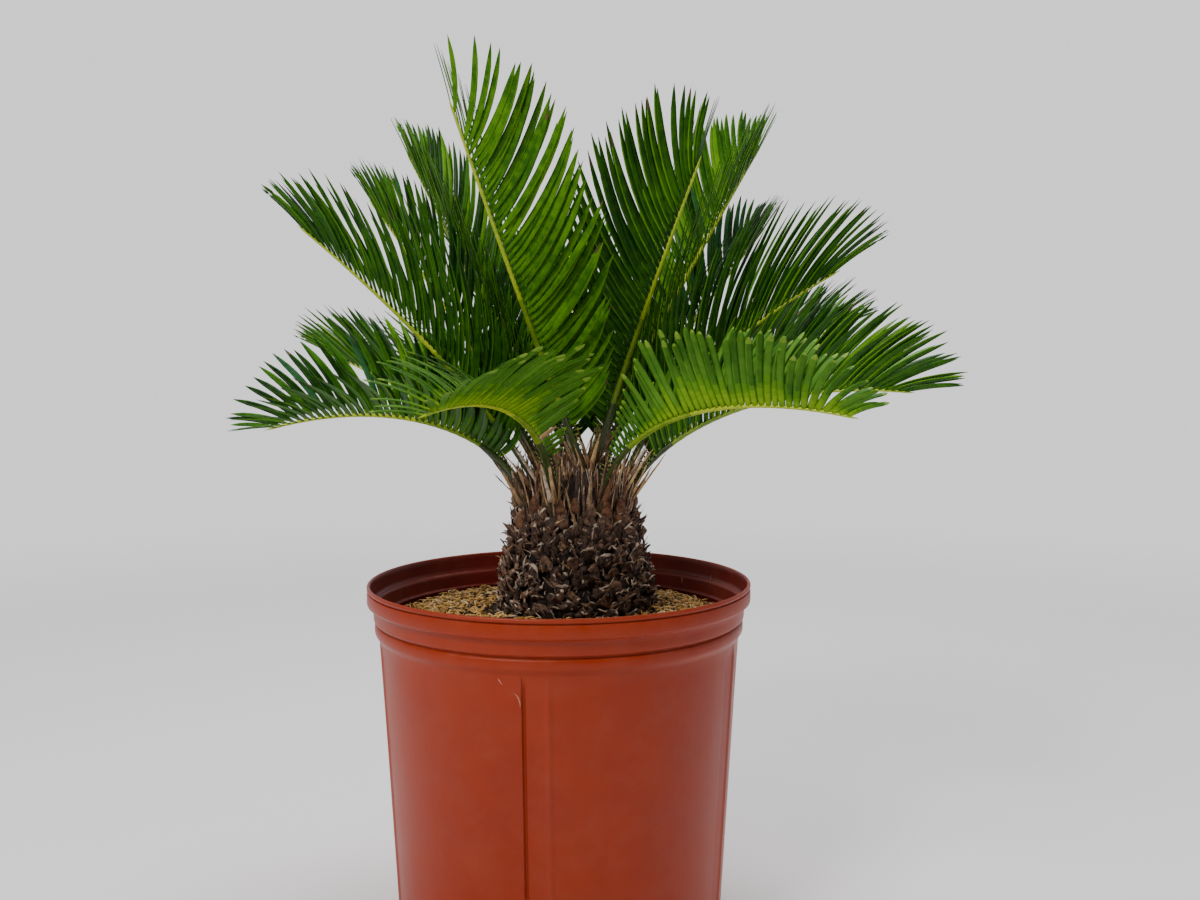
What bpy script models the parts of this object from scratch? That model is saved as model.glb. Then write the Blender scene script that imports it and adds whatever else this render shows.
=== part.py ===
"""A young sago palm in its plastic nursery pot, standing on the flat underside of the pot.

Metres, +Z up. The origin is the middle of the pot's underside, and +X is the right of the plant's front view.
Every frond is worked out from a few sizes: where its foot stands on the trunk, the way it leans, how steeply
it rises, how far it droops by its tip, its length and its longest leaflet.
"""

import math
import random
from collections import namedtuple

import bmesh
import bpy
from mathutils import Matrix, Vector
from mathutils.bvhtree import BVHTree

MM = 0.001
GAP = 0.3 * MM
SEED = 12

# Pot, outside and inside
POT_HEIGHT = 240 * MM
RIM_RADIUS = 127 * MM
RIM_BAND = 12 * MM
LIP_HEIGHT = 3 * MM
NECK_RADIUS = 122.8 * MM
NECK_BAND = 11 * MM
BEAD_RADIUS = 122 * MM
BEAD_BAND = 7.5 * MM
SHOULDER_DROP = 5 * MM
BODY_TOP_RADIUS = 119.2 * MM
BASE_RADIUS = 107.8 * MM
BASE_EDGE = 3 * MM
WALL = 2.2 * MM
FLOOR = 3.2 * MM
INNER_TOP = 206.5 * MM
POT_COLUMNS = 45
GROOVE_ANGLES = (190.5, 259.5, 331.5, 403.5, 477.0)
GROOVE_STEP = 0.9 * MM
GROOVE_WIDTH = 14.5 * MM
GROOVE_DEPTH = 1.3 * MM
GROOVE_FOOT = 9 * MM
DRAIN_HOLES = 6
DRAIN_RADIUS = 6.5 * MM
DRAIN_CIRCLE = 80 * MM

# Soil, with a level seat for the trunk
SOIL_EDGE_Z = 212 * MM
SOIL_SEAT_Z = 221.5 * MM
SOIL_SEAT_RADIUS = 67 * MM
SOIL_COLUMNS = 36

# Trunk
TRUNK_X = 10.7 * MM
TRUNK_FOOT_Z = SOIL_SEAT_Z + GAP
TRUNK_WAIST = ((0, 51.5), (14, 52), (32, 49), (47, 45.5), (56, 42.5), (62, 40))
DOME_RADIUS = TRUNK_WAIST[-1][1] * MM
DOME_Z = TRUNK_FOOT_Z + TRUNK_WAIST[-1][0] * MM
DOME_HEIGHT = 33 * MM
SCALES_AROUND = 13
SCALE_ROWS = 6
SCALE_RELIEF = 4.2 * MM
SCALE_FOOT_AT, SCALE_TIP_AT = 0.22, 0.9
DOME_ROWS = (0.28, 0.55, 0.8, 0.94)

# Fronds
PETIOLE = 30 * MM
FOOT_SIZE = (7.6 * MM, 5.8 * MM)
STALK_SIZE = (4.4 * MM, 4 * MM)
TIP_SIZE = (1.7 * MM, 1.5 * MM)
TERMINAL = 10 * MM
PAIR_PITCH = 19.5 * MM
LEAFLET_SHARE = 0.8
LEAFLET_THICKNESS = 1.4 * MM
SHORT_FOOT, SHORT_TIP = 0.07, 0.055
CLOSING_FROM, CLOSING_SHARE = 0.82, 0.58
LEAFLET_BEND_AT = 0.55
LEAFLET_TURNS = (6, -7)
TIP_DIP = 6
LEAFLET_WIDTH_SHARE = 0.46
SPLIT_AT = 0.36
LEAF_CLEARANCE = 0.6 * MM
CURVE_STEPS = 72
STALK_RINGS = 12
SEAT_CLEARANCE = GAP + 0.1 * MM
ROLL_SHARE = 0.25
WAVE = 2.5
# The lift in degrees and the share of its length that a leaflet is tried at, in turn, until it clears
TRIES = [
    (0, 1), (7, 1), (-7, 1), (14, 0.95), (-14, 0.9),
    (0, 0.8), (10, 0.75), (-10, 0.7), (0, 0.6), (0, 0.45),
]
RINGS = {"heart": 12.5 * MM, "upper": 20.5 * MM, "middle": 30.5 * MM, "outer": 36.5 * MM}

# lean, rise, droop, drift, wide, narrow, keel, roll and foot are degrees, length and leaflet are mm. wide and
# narrow are a leaflet's angle to the stalk near the foot and near the tip. bend below 1 turns most of the
# droop near the foot. A frond with arch set is split there in two nodes.
Frond = namedtuple("Frond", "name lean rise droop drift length leaflet wide narrow keel roll bend foot ring arch")
FRONDS = [
    Frond("tall_left", 225, 62, 0, 5, 240, 90, 57, 42, 40, -16, 1.0, 290, "heart", False),
    Frond("tall_right", 328, 69.5, 2, 4, 204, 98, 60, 33, 42, -4, 1.0, 325, "heart", False),
    Frond("tall_back_right", 30, 60, 12, 16, 284, 82, 56, 34, 54, 0, 1.0, 40, "heart", False),
    Frond("tall_back_left", 147, 61, 6, -8, 256, 78, 54, 20, 54, 0, 1.0, 150, "heart", False),
    Frond("upper_left_back", 166, 63, 12, -8, 217, 76, 54, 20, 54, 0, 0.6, 180, "upper", False),
    Frond("upper_left", 195, 61.5, 22.5, 4, 214, 80, 54, 18, 54, 0, 0.6, 215, "middle", False),
    Frond("upper_right", 352, 75.5, 46, -8, 194, 97, 56, 20, 52, 0, 0.5, 355, "middle", False),
    Frond("upper_right_back", 36, 47, 4, 3, 245, 76, 56, 24, 52, 0, 1.0, 66, "upper", False),
    Frond("upper_back", 84, 64, 34, 10, 235, 80, 58, 26, 48, 0, 0.8, 105, "upper", False),
    Frond("upper_back_left", 118, 62, 34, -6, 230, 80, 58, 26, 48, 0, 0.8, 140, "upper", False),
    Frond("mid_left", 158, 67, 46, 5, 172, 73, 60, 20, 52, 0, 0.35, 165, "outer", False),
    Frond("mid_right", 25, 60, 46, 3, 228, 76, 58, 24, 54, 0, 0.6, 22, "outer", False),
    Frond("low_left", 192, 97.5, 113, 0, 178, 64, 84, 54, 46, -18, 0.4, 202, "outer", True),
    Frond("low_front_left", 251, 98, 112, -18, 165, 66, 96, 80, 34, 0, 0.5, 246, "outer", True),
    Frond("low_front_right", 300, 93, 104.5, 34, 197, 54, 94, 76, 62, 0, 0.4, 297, "outer", True),
    Frond("low_right", 4, 86, 91, -18, 202, 84, 70, 36, 58, 0, 0.4, 336, "outer", True),
    Frond("low_back_right", 62, 94, 100, 8, 200, 78, 66, 34, 50, 0, 0.45, 60, "outer", True),
    Frond("low_back", 97, 96, 106, -6, 205, 78, 66, 34, 50, 0, 0.45, 95, "outer", True),
    Frond("low_back_left", 129, 92, 98, 6, 200, 78, 66, 34, 50, 0, 0.45, 128, "outer", True),
]

COLOURS = {
    "pot": ((0.30, 0.03, 0.008), 0.4),
    "soil": ((0.42, 0.29, 0.10), 0.95),
    "trunk": ((0.06, 0.04, 0.03), 0.95),
    "frond": ((0.02, 0.10, 0.003), 0.4),
}


def clear_scene():
    for thing in list(bpy.data.objects):
        bpy.data.objects.remove(thing)


def material(name):
    colour, roughness = COLOURS[name]
    made = bpy.data.materials.new(name)
    made.use_nodes = True
    shader = made.node_tree.nodes["Principled BSDF"]
    shader.inputs["Base Color"].default_value = (*colour, 1)
    shader.inputs["Roughness"].default_value = roughness
    shader.inputs["Metallic"].default_value = 0
    return made


def face_outwards(bm):
    bmesh.ops.recalc_face_normals(bm, faces=bm.faces)
    if bm.calc_volume(signed=True) < 0:
        bmesh.ops.reverse_faces(bm, faces=bm.faces)


def add_object(name, bm, kind, sharp=None):
    """One named object from a bmesh, shaded smooth up to the angle sharp, or flat with none."""
    mesh = bpy.data.meshes.new(name)
    face_outwards(bm)
    bm.to_mesh(mesh)
    bm.free()
    if sharp:
        mesh.shade_smooth()
        mesh.set_sharp_from_angle(angle=math.radians(sharp))
    mesh.materials.append(material(kind))
    made = bpy.data.objects.new(name, mesh)
    bpy.context.scene.collection.objects.link(made)
    return made


def polar(radius, degrees, z=0.0):
    angle = math.radians(degrees)
    return Vector((radius * math.cos(angle), radius * math.sin(angle), z))


def mix(a, b, share):
    return a + (b - a) * share


def bridge_rings(bm, rings):
    """Quads between each ring of vertices and the next, all the way round."""
    for low, high in zip(rings, rings[1:]):
        for i in range(len(low)):
            j = (i + 1) % len(low)
            bm.faces.new((low[i], low[j], high[j], high[i]))


def lathe(rows, columns, place):
    """A closed turned body. rows are profile steps from the bottom middle to the top middle, place gives a
    row's point at a column, and the first and last rows are closed to one point each."""
    bm = bmesh.new()
    rings = [[bm.verts.new(place(row, column)) for column in columns] for row in rows]
    bridge_rings(bm, rings)
    for ring in (rings[0], rings[-1]):
        middle = sum((v.co for v in ring), Vector()) / len(ring)
        centre = bm.verts.new(middle)
        for i, vert in enumerate(ring):
            bm.faces.new((centre, vert, ring[(i + 1) % len(ring)]))
    return bm


# Pot

def wall_radius(z):
    """Outer radius of the tapered body at a height."""
    top = POT_HEIGHT - RIM_BAND - NECK_BAND - BEAD_BAND - SHOULDER_DROP
    return mix(BASE_RADIUS, BODY_TOP_RADIUS, (z - BASE_EDGE) / (top - BASE_EDGE))


def inner_radius(z):
    """Inner radius of the tapered body at a height."""
    return mix(wall_radius(FLOOR), BODY_TOP_RADIUS, (z - FLOOR) / (INNER_TOP - FLOOR)) - WALL


def pot_profile():
    """(radius, height, share of the groove's depth) from the underside, up, over the lip and down inside."""
    band = POT_HEIGHT - RIM_BAND
    neck = band - NECK_BAND
    bead = neck - BEAD_BAND
    body = bead - SHOULDER_DROP
    lip = POT_HEIGHT - LIP_HEIGHT
    line = 1 * MM
    outside = [
        (BASE_RADIUS - BASE_EDGE, 0, 0),
        (BASE_RADIUS, BASE_EDGE, 0),
        (wall_radius(GROOVE_FOOT), GROOVE_FOOT, 0),
        (wall_radius(GROOVE_FOOT + 3 * line), GROOVE_FOOT + 3 * line, 1),
        (wall_radius(body - 2 * line), body - 2 * line, 1),
        (BODY_TOP_RADIUS, body, 0),
        (BEAD_RADIUS, bead + 2 * line, 0),
        (BEAD_RADIUS, neck - line, 0),
        (BEAD_RADIUS - 1.6 * line, neck, 0),
        (NECK_RADIUS, neck + 1.2 * line, 0),
        (NECK_RADIUS + 0.3 * line, band - line, 0),
        (RIM_RADIUS - 0.4 * line, band + 0.6 * line, 0),
        (RIM_RADIUS, lip - 0.6 * line, 0),
        (RIM_RADIUS - 0.9 * line, lip, 0),
        (RIM_RADIUS, lip + 0.8 * line, 0),
        (RIM_RADIUS - 0.5 * line, POT_HEIGHT - 0.4 * line, 0),
        (RIM_RADIUS - 1.3 * line, POT_HEIGHT, 0),
    ]
    inside = [
        (RIM_RADIUS - WALL, POT_HEIGHT - line, 0),
        (RIM_RADIUS - WALL - 0.6 * line, band + line, 0),
        (NECK_RADIUS - WALL, band - line, 0),
        (NECK_RADIUS - WALL - 0.4 * line, neck + line, 0),
        (inner_radius(INNER_TOP), INNER_TOP, 0),
        (inner_radius(FLOOR), FLOOR, 0),
    ]
    return outside + inside


def pot_columns():
    """(angle, share of the groove's depth) round the pot: a step, a bed that rises, then a plain panel."""
    step, wide = (math.degrees(width / BODY_TOP_RADIUS) for width in (GROOVE_STEP, GROOVE_WIDTH))
    columns = []
    per_panel = POT_COLUMNS // len(GROOVE_ANGLES)
    for start, after in zip(GROOVE_ANGLES, GROOVE_ANGLES[1:] + (GROOVE_ANGLES[0] + 360,)):
        columns += [(start - step, 0), (start, 1), (start + wide / 2, 0.5), (start + wide, 0)]
        free = after - start - wide - step
        columns += [(start + wide + free * (i + 1) / (per_panel + 1), 0) for i in range(per_panel)]
    return columns


def make_pot():
    def place(row, column):
        radius, z, depth = row
        angle, share = column
        return polar(radius - GROOVE_DEPTH * depth * share, angle, z)

    bm = lathe(pot_profile(), pot_columns(), place)
    pot = add_object("pot", bm, "pot", sharp=35)
    cutters = bmesh.new()
    for i in range(DRAIN_HOLES):
        spot = Matrix.Translation(polar(DRAIN_CIRCLE, 360 * (i + 0.5) / DRAIN_HOLES, FLOOR / 2))
        bmesh.ops.create_cone(cutters, cap_ends=True, segments=12, radius1=DRAIN_RADIUS,
                              radius2=DRAIN_RADIUS, depth=3 * FLOOR, matrix=spot)
    holes = add_object("drain_cutters", cutters, "pot")
    holes.hide_render = True
    holes.display_type = "WIRE"
    cut = pot.modifiers.new("drains", "BOOLEAN")
    cut.operation = "DIFFERENCE"
    cut.solver = "EXACT"
    cut.object = holes


def make_soil():
    """Potting mix that fills the pot, mounded up to a level seat under the trunk."""
    side = SOIL_EDGE_Z - 8 * MM
    rows = [
        (inner_radius(FLOOR) - 2 * GAP, FLOOR + GAP),
        (inner_radius(side) - 2 * GAP, side),
        (inner_radius(side) - 3 * GAP, SOIL_EDGE_Z),
        (SOIL_SEAT_RADIUS + 22 * MM, mix(SOIL_EDGE_Z, SOIL_SEAT_Z, 0.62)),
        (SOIL_SEAT_RADIUS, SOIL_SEAT_Z),
    ]
    columns = [360 * i / SOIL_COLUMNS for i in range(SOIL_COLUMNS)]
    rng = random.Random(SEED)

    def place(row, column):
        radius, z = row
        loose = rows[1][1] < z < SOIL_SEAT_Z
        return polar(radius, column, z + (rng.uniform(-1.5, 1) * MM if loose else 0))

    add_object("soil", lathe(rows, columns, place), "soil", sharp=40)


# Trunk

def waist_radius(height):
    """Radius of the trunk below its dome, height above the soil."""
    for (low, first), (high, second) in zip(TRUNK_WAIST, TRUNK_WAIST[1:]):
        if height <= high * MM:
            return mix(first, second, (height / MM - low) / (high - low)) * MM
    return DOME_RADIUS


def trunk_bmesh():
    """The caudex: rows of leaf-base scales, each row half a scale round from the last, under a bare dome."""
    count = 2 * SCALES_AROUND
    columns = [360 * i / count for i in range(count)]
    rows = [("foot", 0)]
    step = (DOME_Z - TRUNK_FOOT_Z) / SCALE_ROWS
    for i in range(SCALE_ROWS):
        rows.append(("low", i))
        rows.append(("high", i))
    rows += [("dome", share) for share in DOME_ROWS]

    def place(row, column):
        kind, value = row
        if kind == "dome":
            angle = value * math.pi / 2
            spot = polar(DOME_RADIUS * math.cos(angle), column, DOME_Z + DOME_HEIGHT * math.sin(angle))
        elif kind == "foot":
            spot = polar(waist_radius(0) - 1.5 * MM, column, TRUNK_FOOT_Z)
        else:
            height = step * (value + (SCALE_FOOT_AT if kind == "low" else SCALE_TIP_AT))
            along = column / 360 * SCALES_AROUND + 0.5 * (value % 2)
            crest = 0.5 + 0.5 * math.cos(2 * math.pi * along)
            out = crest - 0.4 if kind == "high" else 0.35 * crest - 0.85
            spot = polar(waist_radius(height) + SCALE_RELIEF * out, column, TRUNK_FOOT_Z + height)
        return spot + Vector((TRUNK_X, 0, 0))

    return lathe(rows, columns, place)


def faces_of(bm):
    """A bmesh's points and polygons, as BVHTree takes them."""
    bm.verts.index_update()
    return [v.co.copy() for v in bm.verts], [[v.index for v in f.verts] for f in bm.faces]


# Fronds

def dome_point(ring, degrees):
    radius = RINGS[ring]
    height = DOME_HEIGHT * math.sqrt(max(0, 1 - (radius / DOME_RADIUS) ** 2))
    return polar(radius, degrees, DOME_Z + height) + Vector((TRUNK_X, 0, 0))


def frame_at(frond, share):
    """The way a frond runs at a share of its length, its right side and its upper side."""
    elevation = math.radians(frond.rise - frond.droop * share ** frond.bend)
    azimuth = math.radians(frond.lean + frond.drift * share)
    level = Vector((math.cos(azimuth), math.sin(azimuth), 0))
    along = level * math.cos(elevation) + Vector((0, 0, math.sin(elevation)))
    above = Vector((0, 0, math.cos(elevation))) - level * math.sin(elevation)
    turn = Matrix.Rotation(math.radians(frond.roll) * min(1, share / ROLL_SHARE), 3, along)
    above = turn @ above
    return along, along.cross(above), above


def seat_foot(frond, trunk_tree):
    """The frond's first point, moved off the dome until its stalk clears the trunk by the gap."""
    foot = dome_point(frond.ring, frond.foot)
    out = trunk_tree.find_nearest(foot)[1]
    neck = PETIOLE / (frond.length * MM)
    shares = [neck * i / STALK_RINGS for i in range(STALK_RINGS)]
    points = centre_line(frond, Vector())
    steps = (-0.5, -0.25, 0, 0.25, 0.5)
    spread = [(a, b) for a in steps for b in steps]
    skin = []
    for share in shares:
        _, side, above = frame_at(frond, share)
        width, height = rib_size(frond, share)
        skin += [point_at(points, share) + side * width * a + above * height * b for a, b in spread]

    def clearance():
        found = [trunk_tree.find_nearest(foot + spot) for spot in skin]
        return min((foot + spot - near).dot(normal) for spot, (near, normal, _, _) in zip(skin, found))

    while clearance() < SEAT_CLEARANCE:
        foot += out * 0.1 * MM
    return foot


def centre_line(frond, foot):
    """Points along the frond's middle, added up in short steps."""
    step = frond.length * MM / CURVE_STEPS
    points = [foot]
    for i in range(CURVE_STEPS):
        along = frame_at(frond, (i + 0.5) / CURVE_STEPS)[0]
        points.append(points[-1] + along * step)
    return points


def point_at(points, share):
    place = min(max(share, 0), 1) * CURVE_STEPS
    low = min(int(place), CURVE_STEPS - 1)
    return points[low].lerp(points[low + 1], place - low)


def rib_size(frond, share):
    """Width and height of the stalk: a swollen foot, then an even taper to the tip."""
    neck = PETIOLE / (frond.length * MM)
    if share < neck:
        part = (share / neck) ** 0.6
        return [mix(a, b, part) for a, b in zip(FOOT_SIZE, STALK_SIZE)]
    return [mix(a, b, (share - neck) / (1 - neck)) for a, b in zip(STALK_SIZE, TIP_SIZE)]


def blade_pairs(frond):
    """(first share, last share, place from 0 to 1 along the blade) where each pair of leaflets roots."""
    length = frond.length * MM
    blade = length - PETIOLE
    count = round(blade / PAIR_PITCH)
    pitch = blade / count
    root = LEAFLET_SHARE * pitch
    starts = [PETIOLE + pitch * (i + 0.12) for i in range(count)]
    return [(s / length, (s + root) / length, (i + 0.5) / count) for i, s in enumerate(starts)]


def leaflet_length(frond, place):
    """Short near the foot, longest past the middle, and shorter again at the tip."""
    crown = math.sin(math.pi * (SHORT_FOOT + (1 - SHORT_FOOT - SHORT_TIP) * place))
    return frond.leaflet * MM * math.sqrt(crown)


def leaflet_sweep(frond, place):
    """A leaflet's angle to the stalk, which narrows along the frond and closes near its tip."""
    near_tip = max(0, (place - CLOSING_FROM) / (1 - CLOSING_FROM))
    return mix(frond.wide, frond.narrow, place) * (1 - CLOSING_SHARE * near_tip)


def leaflet_points(frond, points, pair, hand, lift=0.0, scale=1.0, swell=0.0):
    """A leaflet's root, the corners across its middle and its tip. hand is 1 on the right, -1 on the left."""
    first, last, place = pair
    share = (first + last) / 2
    along, side, above = frame_at(frond, share)
    root = point_at(points, share)
    width, _ = rib_size(frond, share)
    length = leaflet_length(frond, place) * scale
    sweep = leaflet_sweep(frond, place)

    def way(turn, keel):
        angle = math.radians(sweep + turn)
        tilt = math.radians(keel + lift)
        out = side * hand * math.cos(tilt) + above * math.sin(tilt)
        return out * math.sin(angle) + along * math.cos(angle)

    tilt = math.radians(frond.keel + lift)
    face = above * math.cos(tilt) - side * hand * math.sin(tilt)
    start = root + side * hand * width / 2
    middle = start + way(LEAFLET_TURNS[0], frond.keel) * length * LEAFLET_BEND_AT
    tip = middle + way(LEAFLET_TURNS[1], frond.keel - TIP_DIP) * length * (1 - LEAFLET_BEND_AT)
    half = (last - first) * frond.length * MM * LEAFLET_WIDTH_SHARE + swell
    thick = LEAFLET_THICKNESS / 2 + swell
    corners = [middle + along * half * a + face * thick * b for a, b in ((-1, -1), (1, -1), (1, 1), (-1, 1))]
    return start, corners, tip


def leaflet_hull(frond, points, pair, hand, lift, scale):
    """A slightly swollen leaflet, for testing what it would touch."""
    start, corners, tip = leaflet_points(frond, points, pair, hand, lift, scale, LEAF_CLEARANCE)
    along, side, above = frame_at(frond, (pair[0] + pair[1]) / 2)
    half = (pair[1] - pair[0]) * frond.length * MM / 2 + LEAF_CLEARANCE
    high = rib_size(frond, pair[0])[1] / 2 + LEAF_CLEARANCE
    root = [start + along * half * a + above * high * b for a, b in ((-1, -1), (1, -1), (1, 1), (-1, 1))]
    verts = root + corners + [tip + (tip - corners[0]).normalized() * LEAF_CLEARANCE]
    polys = [[i, (i + 1) % 4, 4 + (i + 1) % 4, 4 + i] for i in range(4)]
    polys += [[4 + i, 4 + (i + 1) % 4, 8] for i in range(4)]
    return BVHTree.FromPolygons(verts, polys)


def stations(frond, low, high):
    """Shares of the length where the stalk has a ring, and the pairs that root between them."""
    pairs = [p for p in blade_pairs(frond) if p[0] > low and p[1] < high]
    neck = PETIOLE / (frond.length * MM)
    shares = {low, high}
    shares.update(s for p in pairs for s in p[:2])
    shares.update(neck * s for s in (0.3, 0.65) if low < neck * s < high)
    return sorted(shares), pairs


def stalk_bmesh(frond, points, low, high, pointed):
    """A four-sided tapering stalk. Returns it with the side faces that leaflets can grow from."""
    shares, pairs = stations(frond, low, high)
    bm = bmesh.new()
    rings = []
    for share in shares:
        _, side, above = frame_at(frond, share)
        centre = point_at(points, share)
        width, height = rib_size(frond, share)
        across = side * width / 2
        up = above * height / 2
        corners = ((-1, -1), (1, -1), (1, 1), (-1, 1))
        rings.append([bm.verts.new(centre + across * a + up * b) for a, b in corners])
    roots = {}
    for low_ring, high_ring, share in zip(rings, rings[1:], shares):
        for i in range(4):
            j = (i + 1) % 4
            face = bm.faces.new((low_ring[i], low_ring[j], high_ring[j], high_ring[i]))
            if i in (1, 3):
                roots[(share, 1 if i == 1 else -1)] = face
    bm.faces.new(rings[0][::-1])
    end = bm.faces.new(rings[-1])
    if pointed:
        along = frame_at(frond, 1)[0]
        tip = end.calc_center_median() + along * TERMINAL
        bmesh.ops.poke(bm, faces=[end])["verts"][0].co = tip
    face_outwards(bm)
    wanted = {(pair, hand): roots[(pair[0], hand)] for pair in pairs for hand in (1, -1)}
    return bm, wanted


def grow_leaflet(bm, face, frond, points, pair, hand, lift, scale):
    """Extrudes a side face of the stalk into a flat blade and draws its end out to a point."""
    _, corners, tip = leaflet_points(frond, points, pair, hand, lift, scale)
    middle = bmesh.ops.extrude_discrete_faces(bm, faces=[face])["faces"][0]
    along, _, above = frame_at(frond, (pair[0] + pair[1]) / 2)
    centre = middle.calc_center_median()
    for vert in middle.verts:
        off = vert.co - centre
        ahead = off.dot(along) > 0
        upper = off.dot(above) > 0
        order = {(False, False): 0, (True, False): 1, (True, True): 2, (False, True): 3}
        vert.co = corners[order[ahead, upper]]
    bmesh.ops.poke(bm, faces=[middle])["verts"][0].co = tip


def make_fronds(trunk_tree):
    """All stalks first, then the leaflets of each frond in turn, where each clears every other frond."""
    pieces = []
    for frond in FRONDS:
        points = centre_line(frond, seat_foot(frond, trunk_tree))
        cut = GAP / (frond.length * MM)
        spans = [(0, SPLIT_AT, "_foot"), (SPLIT_AT + cut, 1, "_blade")] if frond.arch else [(0, 1, "")]
        for low, high, part in spans:
            bm, wanted = stalk_bmesh(frond, points, low, high, pointed=high == 1)
            pieces.append([frond, points, "frond_" + frond.name + part, bm, wanted])
    shapes = [faces_of(piece[3]) for piece in pieces]
    skipped = 0
    for number, (frond, points, _, bm, wanted) in enumerate(pieces):
        verts, polys = [], []
        for other, (more_verts, more_polys) in enumerate(shapes):
            if other != number:
                polys += [[i + len(verts) for i in poly] for poly in more_polys]
                verts += more_verts
        others = BVHTree.FromPolygons(verts, polys)
        rng = random.Random(SEED + number)
        for (pair, hand), face in wanted.items():
            wave, size = rng.uniform(-WAVE, WAVE), rng.uniform(0.95, 1.04)
            for lift, scale in TRIES:
                hull = leaflet_hull(frond, points, pair, hand, lift + wave, scale * size)
                if not hull.overlap(others) and not hull.overlap(trunk_tree):
                    grow_leaflet(bm, face, frond, points, pair, hand, lift + wave, scale * size)
                    break
            else:
                skipped += 1
        shapes[number] = faces_of(bm)
    for _, _, name, bm, _ in pieces:
        add_object(name, bm, "frond")
    print("leaflets left out:", skipped)


def main():
    clear_scene()
    make_pot()
    make_soil()
    bm = trunk_bmesh()
    face_outwards(bm)
    bmesh.ops.triangulate(bm, faces=bm.faces)
    trunk_tree = BVHTree.FromPolygons(*faces_of(bm))
    add_object("trunk", bm, "trunk", sharp=50)
    make_fronds(trunk_tree)


main()
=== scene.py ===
import math
import random
from collections import namedtuple

import bmesh
import bpy
from mathutils import Matrix, Vector, noise


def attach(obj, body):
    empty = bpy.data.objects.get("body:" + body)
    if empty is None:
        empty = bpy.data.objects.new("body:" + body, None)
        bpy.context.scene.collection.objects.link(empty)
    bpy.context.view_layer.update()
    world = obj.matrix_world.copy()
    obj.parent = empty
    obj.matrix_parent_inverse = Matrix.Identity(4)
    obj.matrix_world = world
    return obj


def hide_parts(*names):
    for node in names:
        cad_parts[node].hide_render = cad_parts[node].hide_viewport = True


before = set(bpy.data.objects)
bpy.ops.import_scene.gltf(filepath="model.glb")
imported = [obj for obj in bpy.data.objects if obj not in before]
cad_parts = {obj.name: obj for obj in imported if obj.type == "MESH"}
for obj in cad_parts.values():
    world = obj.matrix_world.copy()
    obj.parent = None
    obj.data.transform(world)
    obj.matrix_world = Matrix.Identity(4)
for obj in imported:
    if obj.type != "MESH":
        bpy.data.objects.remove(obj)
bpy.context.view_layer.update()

mm = 0.001
skyward = Vector((0, 0, 1))
print("frame loaded:", len(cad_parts), "nodes")

# Nodes, and the shader groups that several finishes share
def feed(tree, node, inputs):  # each input takes a plain value or another node's socket
    for key, value in inputs.items():
        if isinstance(value, bpy.types.NodeSocket):
            tree.links.new(value, node.inputs[key])
        else:
            node.inputs[key].default_value = value


def addNode(tree, kind, settings=None, inputs=None):
    node = tree.nodes.new(kind)
    for key, value in (settings or {}).items():
        setattr(node, key, value)
    feed(tree, node, inputs or {})
    return node


def calculate(tree, operation, *values, clamp=False):
    settings = {"operation": operation, "use_clamp": clamp}
    return addNode(tree, "ShaderNodeMath", settings, dict(enumerate(values))).outputs[0]


def remap(tree, value, source=(0, 1), result=(0, 1), kind="LINEAR"):
    inputs = {"Value": value, "From Min": source[0], "From Max": source[1], "To Min": result[0],
              "To Max": result[1]}
    return addNode(tree, "ShaderNodeMapRange", {"interpolation_type": kind}, inputs).outputs["Result"]


def cloud(tree, place, scale, detail, roughness):
    inputs = {"Vector": place, "Scale": scale, "Detail": detail, "Roughness": roughness}
    return addNode(tree, "ShaderNodeTexNoise", inputs=inputs).outputs["Fac"]


def mixValues(tree, share, first, second):
    inputs = {"Factor": share, "A": first, "B": second}
    return addNode(tree, "ShaderNodeMix", {"data_type": "FLOAT"}, inputs).outputs["Result"]


def mixColours(tree, share, first, second):
    inputs = {"Factor": share, 6: first, 7: second}  # the colours are inputs 6 and 7 and output 2
    return addNode(tree, "ShaderNodeMix", {"data_type": "RGBA"}, inputs).outputs[2]


def newGroup(name, inputs, outputs):
    tree = bpy.data.node_groups.new(name, "ShaderNodeTree")
    for label, kind, value in inputs:
        socket = tree.interface.new_socket(label, in_out="INPUT", socket_type="NodeSocket" + kind)
        if value is not None:
            socket.default_value = value
    for label, kind in outputs:
        tree.interface.new_socket(label, in_out="OUTPUT", socket_type="NodeSocket" + kind)
    return tree, tree.nodes.new("NodeGroupInput").outputs


def closeGroup(tree, results):
    addNode(tree, "NodeGroupOutput", inputs=results)
    return tree


def mottleGroup():  # two sizes of cloud that blend a dark and a light colour
    tree, given = newGroup(
        "mottle",
        (("Place", "Vector", None), ("Scale", "Float", 60.0), ("Contrast", "Float", 0.5),
         ("Dark", "Color", (0, 0, 0, 1)), ("Light", "Color", (1, 1, 1, 1))),
        (("Colour", "Color"), ("Mask", "Float")))
    broad = cloud(tree, given["Place"], given["Scale"], 3.0, 0.6)
    fine = cloud(tree, given["Place"], calculate(tree, "MULTIPLY", given["Scale"], 5.3), 2.0, 0.5)
    centred = calculate(tree, "SUBTRACT", mixValues(tree, 0.35, broad, fine), 0.5)
    spread = calculate(tree, "MULTIPLY", centred, given["Contrast"])
    mask = calculate(tree, "MULTIPLY_ADD", spread, 6.0, 0.5, clamp=True)
    colour = mixColours(tree, mask, given["Dark"], given["Light"])
    return closeGroup(tree, {"Colour": colour, "Mask": mask})


def fibreGroup():  # fine streaks, stretched along one axis
    tree, given = newGroup(
        "fibre",
        (("Place", "Vector", None), ("Stretch", "Vector", (1, 1, 1)), ("Scale", "Float", 400.0)),
        (("Height", "Float"),))
    stretched = addNode(tree, "ShaderNodeVectorMath", {"operation": "MULTIPLY"},
                        {0: given["Place"], 1: given["Stretch"]}).outputs["Vector"]
    return closeGroup(tree, {"Height": cloud(tree, stretched, given["Scale"], 4.0, 0.65)})


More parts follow.
